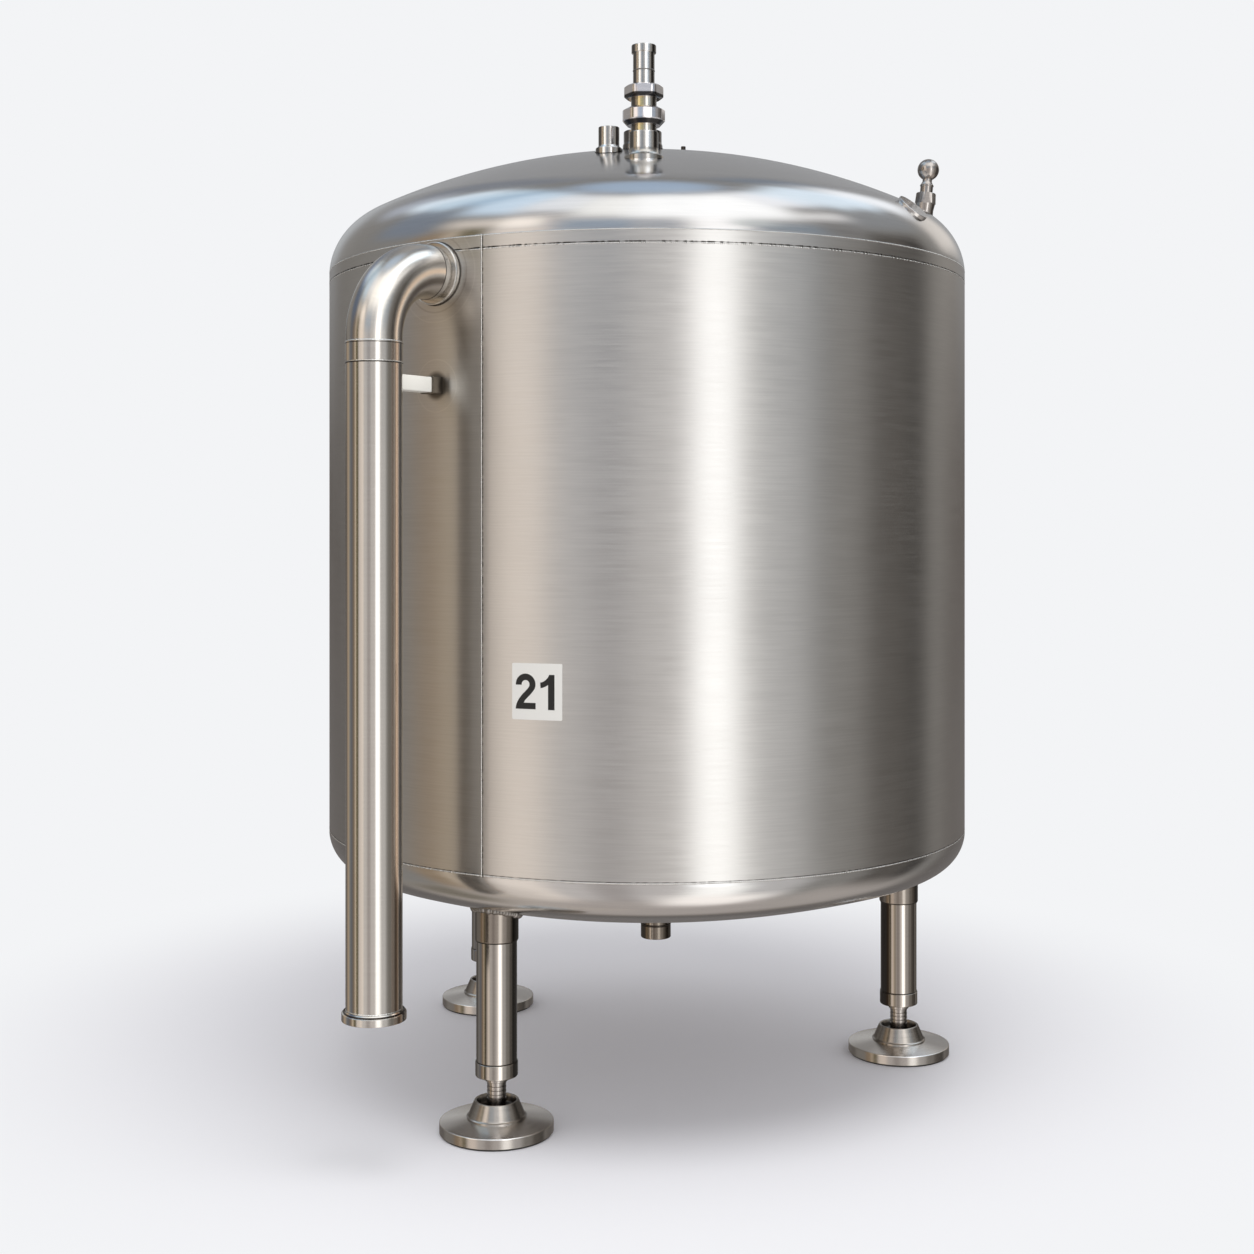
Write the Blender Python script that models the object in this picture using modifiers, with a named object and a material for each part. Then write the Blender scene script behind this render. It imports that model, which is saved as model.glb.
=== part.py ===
"""Vertical stainless steel storage tank with dished ends, on three adjustable feet.

Metres, +Z up, the floor is z = 0. The tank's axis is vertical. An azimuth is measured
about that axis from the front (-Y) and is positive towards +X, so that a piece at
azimuth 90 stands on the right side. The origin is the middle of the whole object's
footprint, and the overflow pipe in front of the shell moves the tank's axis behind it.
"""

import math
from typing import NamedTuple

import bmesh
import bpy
from mathutils import Matrix

# Clearance between pieces that touch or nest
GAP = 0.0003

# Shell and dished ends
SHELL_RADIUS = 0.700
SHEET = 0.004
BOTTOM_TANGENT_Z = 0.528
BOTTOM_SEAM_Z = 0.5295
UPPER_SEAM_Z = 1.711
TOP_TANGENT_Z = 1.727
BAND_TOP_Z = 1.734
TOP_CROWN_RADIUS = 2.0 * SHELL_RADIUS
TOP_KNUCKLE_RADIUS = 0.2 * SHELL_RADIUS
BOTTOM_CROWN_RADIUS = 3.0 * SHELL_RADIUS
BOTTOM_KNUCKLE_RADIUS = 0.078
BODY_STEPS = 64
CROWN_RINGS = 4
KNUCKLE_RINGS = 5

# Overflow pipe, from the shell out, down and to its clamp ferrule
OVERFLOW_AZIMUTH = -35.75
OVERFLOW_Z = 1.669
PIPE_RADIUS = 0.052
PIPE_WALL = 0.003
PIPE_REACH = 0.868
PIPE_STEPS = 32
STUB_END = 0.728
ELBOW_LEAD = 0.003
ELBOW_END_Z = 1.524
ELBOW_RINGS = 9
SHELL_RING_RADIUS = 0.0595
SHELL_RING_FACE = 0.7075
JOINT_SLEEVE_RADIUS = 0.0528
JOINT_SLEEVE_BOTTOM_Z = 1.488
FERRULE_RADIUS = 0.0595
FERRULE_TOP_Z = 0.303
FERRULE_RIM_Z = 0.2976
FERRULE_BOTTOM_Z = 0.284
FERRULE_HUB_RADIUS = 0.0545
FERRULE_CHAMFER = 0.0015

# Pipe bracket
BRACKET_Z = 1.455
BRACKET_BAR = 0.029
BRACKET_BLOCK = 0.033
BRACKET_JOINT = 0.7266

# Legs and adjustable feet: azimuth and the height of the sleeve's lower edge
LEGS = {
    "front_left": (-31.7, 0.378),
    "right": (92.5, 0.342),
    "back_left": (-137.0, 0.342),
}
LEG_CIRCLE = 0.569
LEG_RADIUS = 0.040
LEG_WALL = 0.0025
LEG_STEPS = 24
SLEEVE_RADIUS = 0.043
COLLAR_RADIUS = 0.0418
COLLAR_TOP_Z = 0.140
COLLAR_BOTTOM_Z = 0.111
COLLAR_EDGE = 0.003
STEM_RADIUS = 0.0188
STEM_TOP_Z = 0.190
STEM_RING_RADIUS = 0.0222
STEM_RING_BOTTOM_Z = 0.101
STEM_RING_EDGE = 0.001
CONE_BASE_RADIUS = 0.059
CONE_FOOT_RADIUS = 0.056
CONE_TOP_RADIUS = 0.0432
CONE_TOP_Z = 0.064
CONE_LIP = 0.004
CONE_FLOOR_Z = 0.048
PAD_RADIUS = 0.112
PAD_BOTTOM_Z = 0.004
PAD_RIM_Z = 0.0235
PAD_CROWN_Z = 0.031
PAD_EDGE = 0.0015
PAD_STEPS = 40
RUBBER_RADIUS = 0.109

# Nozzle stack on the top end
NOZZLE_PLACE = (-0.0106, -0.490)
SOCKET_RADIUS = 0.0285
SOCKET_TOP_Z = 1.9568
SOCKET_FLARE_RADIUS = 0.0388
SOCKET_FLARE_Z = (1.908, 1.9213)
FLARE_RINGS = 4
UNION_RADIUS = 0.025
SPIGOT_RADIUS = 0.0211
SPIGOT_TOP_Z = 2.1265
SPIGOT_RIM_RADIUS = 0.0242
SPIGOT_RIM_Z = 2.111
SPIGOT_RIM_EDGE = 0.0015
FITTING_STEPS = 24


class Nut(NamedTuple):
    """A hexagon nut: its radii, the heights of its chamfers and its turn in degrees."""

    corner: float
    turned: float
    top_face: float
    bottom_face: float
    top_z: float
    top_chamfer_z: float
    bottom_chamfer_z: float
    bottom_z: float
    turn: float


LOWER_NUT = Nut(0.0470, 0.0416, 0.0314, 0.0323, 2.0036, 1.9977, 1.9789, 1.9688, 8.5)
UPPER_NUT = Nut(0.0403, 0.0384, 0.0320, 0.0320, 2.0473, 2.0436, 2.0259, 2.0212, 0.0)

# Two plain nozzles and a small plug beside the stack
SHORT_NOZZLE_PLACE = (-0.080, -0.390)
SHORT_NOZZLE_TOP_Z = 1.989
SHORT_NOZZLE_RADIUS = 0.0211
SHORT_NOZZLE_COLLAR = 0.0268
REAR_NOZZLE_PLACE = (-0.0112, -0.295)
REAR_NOZZLE_TOP_Z = 2.0005
REAR_NOZZLE_RADIUS = 0.0394
REAR_NOZZLE_COLLAR = 0.0412
COLLAR_HEIGHT = 0.010
PLUG_RIM = 0.0045
PLUG_RECESS = 0.003
DOME_PLUG_PLACE = (0.0766, -0.185)
DOME_PLUG_RADIUS = 0.005
DOME_PLUG_TOP_Z = 1.995
DOME_PLUG_STEPS = 12

# Vent fitting with a ball top, leaning out a little; heights run along its own axis
VENT_AZIMUTH = 68.5
VENT_REACH = 0.627
VENT_LEAN = 5.2
VENT_ROOT = -0.020
VENT_STEM_RADII = (0.0180, 0.0205)
VENT_NUT_HEIGHTS = (0.0147, 0.0366)
VENT_NUT_RADII = (0.0231, 0.0206)
VENT_NECK_RADIUS = 0.0132
VENT_RIDGE_RADIUS = 0.0142
VENT_RIDGE_HEIGHT = 0.0527
VENT_RIDGE = 0.001
VENT_THROAT_RADIUS = 0.0100
VENT_BALL_RADIUS = 0.0225
VENT_BALL_HEIGHT = 0.0865
BALL_RINGS = 9

# Round pad welded on the knuckle in front of the vent
DOME_PAD_AZIMUTH = 54.2
DOME_PAD_REACH = 0.657
DOME_PAD_RADIUS = 0.0345
DOME_PAD_SHEET = 0.004
DOME_PAD_EDGE = 0.001

# Drain under the bottom end
DRAIN_OFFSET = 0.021
DRAIN_NECK_RADIUS = 0.0318
DRAIN_JOINT_Z = 0.295
DRAIN_RADIUS = 0.0335
DRAIN_BOTTOM_Z = 0.266
DRAIN_EDGE = 0.003

# Number plate on the shell
PLATE_AZIMUTH = -17.5
PLATE_Z = 0.880
PLATE_WIDTH = 0.099
PLATE_HEIGHT = 0.105
PLATE_SHEET = 0.001

# The pipe's ferrule is the piece that reaches furthest forward of the tank's axis
FRONT_REACH = PIPE_REACH * math.cos(math.radians(OVERFLOW_AZIMUTH)) + FERRULE_RADIUS
AXIS_Y = (FRONT_REACH - SHELL_RADIUS) / 2

# Finish of each material slot: linear colour, roughness, metallic
FINISHES = {
    "brushed_shell": ((0.42, 0.40, 0.38), 0.32, 1.0),
    "satin_ends": ((0.45, 0.45, 0.46), 0.28, 1.0),
    "pipe_steel": ((0.48, 0.45, 0.42), 0.22, 1.0),
    "bracket_steel": ((0.60, 0.59, 0.57), 0.30, 1.0),
    "leg_steel": ((0.38, 0.35, 0.32), 0.25, 1.0),
    "foot_steel": ((0.44, 0.42, 0.40), 0.22, 1.0),
    "fitting_steel": ((0.42, 0.39, 0.36), 0.20, 1.0),
    "foot_rubber": ((0.012, 0.012, 0.012), 0.75, 0.0),
    "plate_white": ((0.85, 0.85, 0.85), 0.45, 0.0),
}


def clear_scene():
    """Removes what the scene already holds."""
    for thing in list(bpy.data.objects):
        bpy.data.objects.remove(thing, do_unlink=True)


def make_collection(name):
    """A new collection linked to the scene."""
    collection = bpy.data.collections.new(name)
    bpy.context.scene.collection.children.link(collection)
    return collection


def finish(slot):
    """The Principled material of a slot, made the first time it is asked for."""
    if slot in bpy.data.materials:
        return bpy.data.materials[slot]
    colour, roughness, metallic = FINISHES[slot]
    material = bpy.data.materials.new(slot)
    material.use_nodes = True
    shader = material.node_tree.nodes["Principled BSDF"]
    shader.inputs["Base Color"].default_value = (*colour, 1.0)
    shader.inputs["Roughness"].default_value = roughness
    shader.inputs["Metallic"].default_value = metallic
    return material


def on_tank(azimuth, reach, z):
    """The world point at this azimuth and distance from the tank's axis."""
    angle = math.radians(azimuth)
    return (reach * math.sin(angle), AXIS_Y - reach * math.cos(angle), z)


def beside_axis(place, z=0.0):
    """The world point at an (x, y) place measured from the tank's axis."""
    return (place[0], AXIS_Y + place[1], z)


def radial_turn(azimuth):
    """The rotation that lays a piece's own +Z along the outward direction."""
    return (math.radians(90), 0.0, math.radians(azimuth))


def add_object(name, mesh, slot, location=(0, 0, 0), rotation=(0, 0, 0)):
    """Puts a mesh in the tank's collection, or with no slot among the cutters."""
    thing = bpy.data.objects.new(name, mesh)
    thing.location = location
    thing.rotation_euler = rotation
    if slot:
        mesh.materials.append(finish(slot))
        PARTS.objects.link(thing)
    else:
        thing.hide_render = True
        thing.display_type = "WIRE"
        CUTTERS.objects.link(thing)
    return thing


def turned(name, profile, slot, location=(0, 0, 0), rotation=(0, 0, 0), steps=FITTING_STEPS):
    """Turns (radius, z) points about +Z, listed from top to bottom on the outer side.

    A profile that starts and ends on the axis makes a solid, any other makes a ring.
    """
    edges = [(i, i + 1) for i in range(len(profile) - 1)]
    if profile[0][0] > 0:
        edges.append((len(profile) - 1, 0))
    mesh = bpy.data.meshes.new(name)
    mesh.from_pydata([(radius, 0.0, z) for radius, z in profile], edges, [])
    thing = add_object(name, mesh, slot, location, rotation)
    screw = thing.modifiers.new("Turn", "SCREW")
    screw.axis = "Z"
    screw.steps = steps
    screw.render_steps = steps
    screw.use_merge_vertices = True
    screw.merge_threshold = 0.00005
    screw.use_smooth_shade = True
    return thing


def ring(name, outer, inner, bottom, top, slot, **placing):
    """A plain tube between two heights."""
    profile = [(outer, top), (outer, bottom), (inner, bottom), (inner, top)]
    return turned(name, profile, slot, **placing)


def rod(name, radius, bottom, top, slot, **placing):
    """A plain round bar between two heights."""
    profile = [(0.0, top), (radius, top), (radius, bottom), (0.0, bottom)]
    return turned(name, profile, slot, **placing)


def box(name, size, slot, location, rotation=(0, 0, 0)):
    """A block of this size, centred on its location."""
    mesh = bpy.data.meshes.new(name)
    shape = bmesh.new()
    bmesh.ops.create_cube(shape, size=1.0, matrix=Matrix.Diagonal((*size, 1.0)))
    shape.to_mesh(mesh)
    shape.free()
    return add_object(name, mesh, slot, location, rotation)


def hexagon_bar(name, lower_radius, upper_radius, bottom, top, slot, location, rotation):
    """A hexagonal bar with one flat side towards the front, measured at its corners."""
    mesh = bpy.data.meshes.new(name)
    shape = bmesh.new()
    flat_to_front = Matrix.Rotation(math.radians(30), 4, "Z")
    bmesh.ops.create_cone(
        shape,
        cap_ends=True,
        segments=6,
        radius1=lower_radius,
        radius2=upper_radius,
        depth=top - bottom,
        matrix=Matrix.Translation((0, 0, (top + bottom) / 2)) @ flat_to_front,
    )
    shape.to_mesh(mesh)
    shape.free()
    return add_object(name, mesh, slot, location, rotation)


def boolean(target, other, operation="DIFFERENCE"):
    """Cuts the target with another object, or keeps what the two share."""
    step = target.modifiers.new(other.name, "BOOLEAN")
    step.operation = operation
    step.solver = "EXACT"
    step.object = other
    return target


def between(start, end, count):
    """Evenly spaced values from start to end, both included."""
    return [start + (end - start) * i / count for i in range(count + 1)]


def dished_end(radius, crown, knuckle, tangent_z, up, flange=0.0):
    """Points (radius, z) of a dished end, from its apex out to its tangent line.

    With a flange the outline stops that much before the tangent line.
    """
    slope = math.asin((radius - knuckle) / (crown - knuckle))
    edge = math.acos(flange / knuckle)
    rise = crown - (crown - knuckle) * math.cos(slope)
    points = [
        (crown * math.sin(angle), rise - crown * (1 - math.cos(angle)))
        for angle in between(0.0, slope, CROWN_RINGS)
    ]
    points += [
        (radius - knuckle + knuckle * math.sin(angle), knuckle * math.cos(angle))
        for angle in between(slope, edge, KNUCKLE_RINGS)[1:]
    ]
    return [(r, tangent_z + up * height) for r, height in points]


def top_end(offset, flange=0.0):
    """The top end's outline, moved outwards by an offset."""
    return dished_end(
        SHELL_RADIUS + offset,
        TOP_CROWN_RADIUS + offset,
        TOP_KNUCKLE_RADIUS + offset,
        TOP_TANGENT_Z,
        up=1,
        flange=flange,
    )


def bottom_end(offset):
    """The bottom end's outline, moved outwards by an offset."""
    return dished_end(
        SHELL_RADIUS + offset,
        BOTTOM_CROWN_RADIUS + offset,
        BOTTOM_KNUCKLE_RADIUS + offset,
        BOTTOM_TANGENT_Z,
        up=-1,
    )


def make_envelope():
    """The tank's outside with its clearance, which trims whatever is welded to it."""
    profile = top_end(GAP) + bottom_end(GAP)[::-1]
    return turned("envelope", profile, None, beside_axis((0, 0)), steps=BODY_STEPS)


def make_tank_body():
    """The shell wall, the band above it and the two dished ends."""
    axis = beside_axis((0, 0))
    inner = SHELL_RADIUS - SHEET
    wall = ring(
        "shell_wall", SHELL_RADIUS, inner, BOTTOM_SEAM_Z, UPPER_SEAM_Z - GAP,
        "brushed_shell", location=axis, steps=BODY_STEPS,
    )
    band = ring(
        "upper_band", SHELL_RADIUS, inner, UPPER_SEAM_Z, BAND_TOP_Z - GAP,
        "brushed_shell", location=axis, steps=BODY_STEPS,
    )
    flange = BAND_TOP_Z - TOP_TANGENT_Z
    top = top_end(0.0, flange) + top_end(-SHEET, flange)[::-1]
    turned("top_head", top, "satin_ends", axis, steps=BODY_STEPS)
    rim_z = BOTTOM_SEAM_Z - GAP
    rim = [(inner, rim_z), (SHELL_RADIUS, rim_z)]
    bottom = bottom_end(-SHEET) + rim + bottom_end(0.0)[::-1]
    turned("bottom_head", bottom, "satin_ends", axis, steps=BODY_STEPS)
    return wall, band


def swept_tube(name, path, radius, wall, slot):
    """A thin-walled tube along a path of points."""
    curve = bpy.data.curves.new(name + "_path", "CURVE")
    curve.dimensions = "3D"
    curve.bevel_depth = radius
    curve.bevel_resolution = PIPE_STEPS // 2 - 2
    spline = curve.splines.new("POLY")
    spline.points.add(len(path) - 1)
    for point, place in zip(spline.points, path):
        point.co = (*place, 1.0)
    guide = bpy.data.objects.new(name + "_path", curve)
    bpy.context.scene.collection.objects.link(guide)
    graph = bpy.context.evaluated_depsgraph_get()
    mesh = bpy.data.meshes.new_from_object(guide.evaluated_get(graph))
    mesh.materials.clear()
    bpy.data.objects.remove(guide, do_unlink=True)
    tube = add_object(name, mesh, slot)
    skin = tube.modifiers.new("Wall", "SOLIDIFY")
    skin.thickness = wall
    skin.offset = -1.0
    return tube


def elbow_path():
    """The elbow's centre line, with a short straight lead at each end."""
    bend = PIPE_REACH - STUB_END - ELBOW_LEAD
    centre_reach = PIPE_REACH - bend
    points = [(STUB_END + GAP, OVERFLOW_Z)]
    for angle in between(0.0, math.pi / 2, ELBOW_RINGS):
        reach = centre_reach + bend * math.sin(angle)
        height = OVERFLOW_Z - bend * (1 - math.cos(angle))
        points.append((reach, height))
    points.append((PIPE_REACH, ELBOW_END_Z))
    return [on_tank(OVERFLOW_AZIMUTH, reach, z) for reach, z in points]


def make_overflow(wall, band, envelope):
    """The overflow: ring and stub on the shell, elbow, joint sleeve, pipe and ferrule."""
    slot = "pipe_steel"
    inner = PIPE_RADIUS - PIPE_WALL
    stub_root = SHELL_RADIUS - 4 * SHEET
    sideways = {
        "location": beside_axis((0, 0), OVERFLOW_Z),
        "rotation": radial_turn(OVERFLOW_AZIMUTH),
        "steps": PIPE_STEPS,
    }
    shell_ring = ring(
        "overflow_shell_ring", SHELL_RING_RADIUS, PIPE_RADIUS + GAP,
        stub_root, SHELL_RING_FACE, slot, **sideways,
    )
    boolean(shell_ring, envelope)
    ring("overflow_stub", PIPE_RADIUS, inner, SHELL_RADIUS - SHEET, STUB_END, slot, **sideways)
    hole = rod("overflow_hole", PIPE_RADIUS + GAP, stub_root, STUB_END, None, **sideways)
    boolean(wall, hole)
    boolean(band, hole)
    swept_tube("overflow_elbow", elbow_path(), PIPE_RADIUS, PIPE_WALL, slot)

    down = {"location": on_tank(OVERFLOW_AZIMUTH, PIPE_REACH, 0.0), "steps": PIPE_STEPS}
    ring(
        "overflow_joint_sleeve", JOINT_SLEEVE_RADIUS, inner,
        JOINT_SLEEVE_BOTTOM_Z, ELBOW_END_Z - GAP, slot, **down,
    )
    ring(
        "overflow_downpipe", PIPE_RADIUS, inner,
        FERRULE_TOP_Z + GAP, JOINT_SLEEVE_BOTTOM_Z - GAP, slot, **down,
    )
    profile = [
        (PIPE_RADIUS, FERRULE_TOP_Z),
        (FERRULE_HUB_RADIUS, FERRULE_TOP_Z - FERRULE_CHAMFER),
        (FERRULE_RADIUS, FERRULE_RIM_Z),
        (FERRULE_RADIUS, FERRULE_BOTTOM_Z + FERRULE_CHAMFER),
        (FERRULE_RADIUS - FERRULE_CHAMFER, FERRULE_BOTTOM_Z),
        (inner, FERRULE_BOTTOM_Z),
        (inner, FERRULE_TOP_Z),
    ]
    turned("overflow_ferrule", profile, slot, **down)


def make_bracket(envelope):
    """The square bar and block that hold the overflow pipe off the shell."""
    turn = (0.0, 0.0, math.radians(OVERFLOW_AZIMUTH))
    pipe_room = rod(
        "pipe_room", PIPE_RADIUS + GAP, FERRULE_TOP_Z, OVERFLOW_Z, None,
        location=on_tank(OVERFLOW_AZIMUTH, PIPE_REACH, 0.0), steps=PIPE_STEPS,
    )
    bar_length = PIPE_REACH - BRACKET_JOINT - GAP
    bar = box(
        "bracket_bar", (BRACKET_BAR, bar_length, BRACKET_BAR), "bracket_steel",
        on_tank(OVERFLOW_AZIMUTH, PIPE_REACH - bar_length / 2, BRACKET_Z), turn,
    )
    boolean(bar, pipe_room)
    block_length = BRACKET_JOINT - SHELL_RADIUS + 2 * SHEET
    block = box(
        "bracket_block", (BRACKET_BLOCK, block_length, BRACKET_BLOCK), "bracket_steel",
        on_tank(OVERFLOW_AZIMUTH, BRACKET_JOINT - block_length / 2, BRACKET_Z), turn,
    )
    boolean(block, envelope)


def make_leg(name, azimuth, sleeve_bottom, envelope):
    """One leg: sleeve, tube and collar, then the foot's stem, cone, pad and rubber."""
    place = {"location": on_tank(azimuth, LEG_CIRCLE, 0.0), "steps": LEG_STEPS}
    above_head = BOTTOM_TANGENT_Z
    sleeve = ring(
        f"leg_{name}_sleeve", SLEEVE_RADIUS, LEG_RADIUS + GAP,
        sleeve_bottom, above_head, "leg_steel", **place,
    )
    boolean(sleeve, envelope)
    tube = ring(
        f"leg_{name}_tube", LEG_RADIUS, LEG_RADIUS - LEG_WALL,
        COLLAR_TOP_Z + GAP, above_head, "leg_steel", **place,
    )
    boolean(tube, envelope)
    collar = [
        (LEG_RADIUS, COLLAR_TOP_Z),
        (COLLAR_RADIUS, COLLAR_TOP_Z - COLLAR_EDGE / 2),
        (COLLAR_RADIUS, COLLAR_BOTTOM_Z + COLLAR_EDGE),
        (COLLAR_RADIUS - COLLAR_EDGE, COLLAR_BOTTOM_Z),
        (STEM_RADIUS + GAP, COLLAR_BOTTOM_Z),
        (STEM_RADIUS + GAP, COLLAR_TOP_Z),
    ]
    turned(f"leg_{name}_collar", collar, "leg_steel", **place)
    stem = [
        (0.0, STEM_TOP_Z),
        (STEM_RADIUS, STEM_TOP_Z),
        (STEM_RADIUS, COLLAR_BOTTOM_Z - GAP),
        (STEM_RING_RADIUS, COLLAR_BOTTOM_Z - GAP),
        (STEM_RING_RADIUS, STEM_RING_BOTTOM_Z),
        (STEM_RADIUS, STEM_RING_BOTTOM_Z - STEM_RING_EDGE),
        (STEM_RADIUS, CONE_FLOOR_Z + GAP),
        (0.0, CONE_FLOOR_Z + GAP),
    ]
    turned(f"foot_{name}_stem", stem, "foot_steel", **place)
    lip = CONE_TOP_RADIUS - CONE_LIP
    cone = [
        (0.0, CONE_FLOOR_Z),
        (lip - CONE_LIP, CONE_FLOOR_Z),
        (lip, CONE_TOP_Z - CONE_LIP),
        (lip, CONE_TOP_Z),
        (CONE_TOP_RADIUS, CONE_TOP_Z),
        (CONE_FOOT_RADIUS, PAD_CROWN_Z + CONE_LIP),
        (CONE_BASE_RADIUS, PAD_CROWN_Z + CONE_LIP / 2),
        (CONE_BASE_RADIUS, PAD_CROWN_Z + GAP),
        (0.0, PAD_CROWN_Z + GAP),
    ]
    turned(f"foot_{name}_cone", cone, "foot_steel", **place)
    place["steps"] = PAD_STEPS
    pad = [
        (0.0, PAD_CROWN_Z),
        (CONE_BASE_RADIUS, PAD_CROWN_Z),
        (PAD_RADIUS - PAD_EDGE, PAD_RIM_Z),
        (PAD_RADIUS, PAD_RIM_Z - PAD_EDGE),
        (PAD_RADIUS, PAD_BOTTOM_Z),
        (0.0, PAD_BOTTOM_Z),
    ]
    turned(f"foot_{name}_pad", pad, "foot_steel", **place)
    rod(f"foot_{name}_rubber", RUBBER_RADIUS, 0.0, PAD_BOTTOM_Z - GAP, "foot_rubber", **place)


def make_nut(name, nut, location):
    """A hexagon nut on the union's neck, its corners turned down and chamfered."""
    turn = (0.0, 0.0, math.radians(nut.turn))
    bar = hexagon_bar(
        name, nut.corner, nut.corner, nut.bottom_z, nut.top_z, "fitting_steel", location, turn
    )
    bore = UNION_RADIUS + GAP
    profile = [
        (nut.top_face, nut.top_z),
        (nut.turned, nut.top_chamfer_z),
        (nut.turned, nut.bottom_chamfer_z),
        (nut.bottom_face, nut.bottom_z),
        (bore, nut.bottom_z),
        (bore, nut.top_z),
    ]
    blank = turned(f"{name}_blank", profile, None, location)
    return boolean(bar, blank, "INTERSECT")


def make_nozzle_stack(envelope):
    """The tall nozzle: flared socket, union body with two nuts, and ferruled spigot."""
    slot = "fitting_steel"
    place = beside_axis(NOZZLE_PLACE)
    flare_bottom, flare_top = SOCKET_FLARE_Z
    flare_width = SOCKET_FLARE_RADIUS - SOCKET_RADIUS
    flare_height = flare_top - flare_bottom
    flare = [
        (
            SOCKET_FLARE_RADIUS - flare_width * math.cos(angle),
            flare_top - flare_height * math.sin(angle),
        )
        for angle in between(0.0, math.pi / 2, FLARE_RINGS)
    ]
    socket_profile = [(0.0, SOCKET_TOP_Z), (SOCKET_RADIUS, SOCKET_TOP_Z), *flare]
    socket_profile += [(SOCKET_FLARE_RADIUS, BAND_TOP_Z), (0.0, BAND_TOP_Z)]
    socket = turned("nozzle_socket", socket_profile, slot, place)
    boolean(socket, envelope)
    union_top = UPPER_NUT.top_z
    rod("nozzle_union", UNION_RADIUS, SOCKET_TOP_Z + GAP, union_top, slot, location=place)
    make_nut("nozzle_lower_nut", LOWER_NUT, place)
    make_nut("nozzle_upper_nut", UPPER_NUT, place)
    spigot = [
        (0.0, SPIGOT_TOP_Z),
        (SPIGOT_RIM_RADIUS - SPIGOT_RIM_EDGE, SPIGOT_TOP_Z),
        (SPIGOT_RIM_RADIUS, SPIGOT_TOP_Z - SPIGOT_RIM_EDGE),
        (SPIGOT_RIM_RADIUS, SPIGOT_RIM_Z + SPIGOT_RIM_EDGE),
        (SPIGOT_RADIUS, SPIGOT_RIM_Z),
        (SPIGOT_RADIUS, union_top + GAP),
        (0.0, union_top + GAP),
    ]
    turned("nozzle_spigot", spigot, slot, place)


def make_plain_nozzle(name, place, top, radius, collar, envelope):
    """A short plugged nozzle with a welded collar at its foot."""
    crown_centre = top_end(0.0)[0][1] - TOP_CROWN_RADIUS
    surface = crown_centre + math.sqrt(TOP_CROWN_RADIUS**2 - math.hypot(*place) ** 2)
    shoulder = surface + COLLAR_HEIGHT
    profile = [
        (0.0, top - PLUG_RECESS),
        (radius - PLUG_RIM, top - PLUG_RECESS),
        (radius - PLUG_RIM, top),
        (radius, top),
        (radius, shoulder),
        (collar, shoulder - COLLAR_HEIGHT / 2),
        (collar, BAND_TOP_Z),
        (0.0, BAND_TOP_Z),
    ]
    nozzle = turned(name, profile, "fitting_steel", beside_axis(place))
    boolean(nozzle, envelope)


def make_dome_plug(envelope):
    """The small plug behind the nozzles."""
    plug = rod(
        "dome_plug", DOME_PLUG_RADIUS, BAND_TOP_Z, DOME_PLUG_TOP_Z, "fitting_steel",
        location=beside_axis(DOME_PLUG_PLACE), steps=DOME_PLUG_STEPS,
    )
    boolean(plug, envelope)


def knuckle_slope(reach):
    """The angle from +Z of the top end's outward normal on its knuckle."""
    return math.asin((reach - SHELL_RADIUS + TOP_KNUCKLE_RADIUS) / TOP_KNUCKLE_RADIUS)


def knuckle_point(azimuth, reach):
    """The world point on the outside of the top end's knuckle."""
    z = TOP_TANGENT_Z + TOP_KNUCKLE_RADIUS * math.cos(knuckle_slope(reach))
    return on_tank(azimuth, reach, z)


def make_dome_pad(envelope):
    """The flat round pad welded on the knuckle."""
    profile = [
        (0.0, DOME_PAD_SHEET),
        (DOME_PAD_RADIUS - DOME_PAD_EDGE, DOME_PAD_SHEET),
        (DOME_PAD_RADIUS, DOME_PAD_SHEET - DOME_PAD_EDGE),
        (DOME_PAD_RADIUS, -DOME_PAD_RADIUS),
        (0.0, -DOME_PAD_RADIUS),
    ]
    location = knuckle_point(DOME_PAD_AZIMUTH, DOME_PAD_REACH)
    turn = (knuckle_slope(DOME_PAD_REACH), 0.0, math.radians(DOME_PAD_AZIMUTH))
    pad = turned("dome_pad", profile, "fitting_steel", location, turn)
    boolean(pad, envelope)


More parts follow.
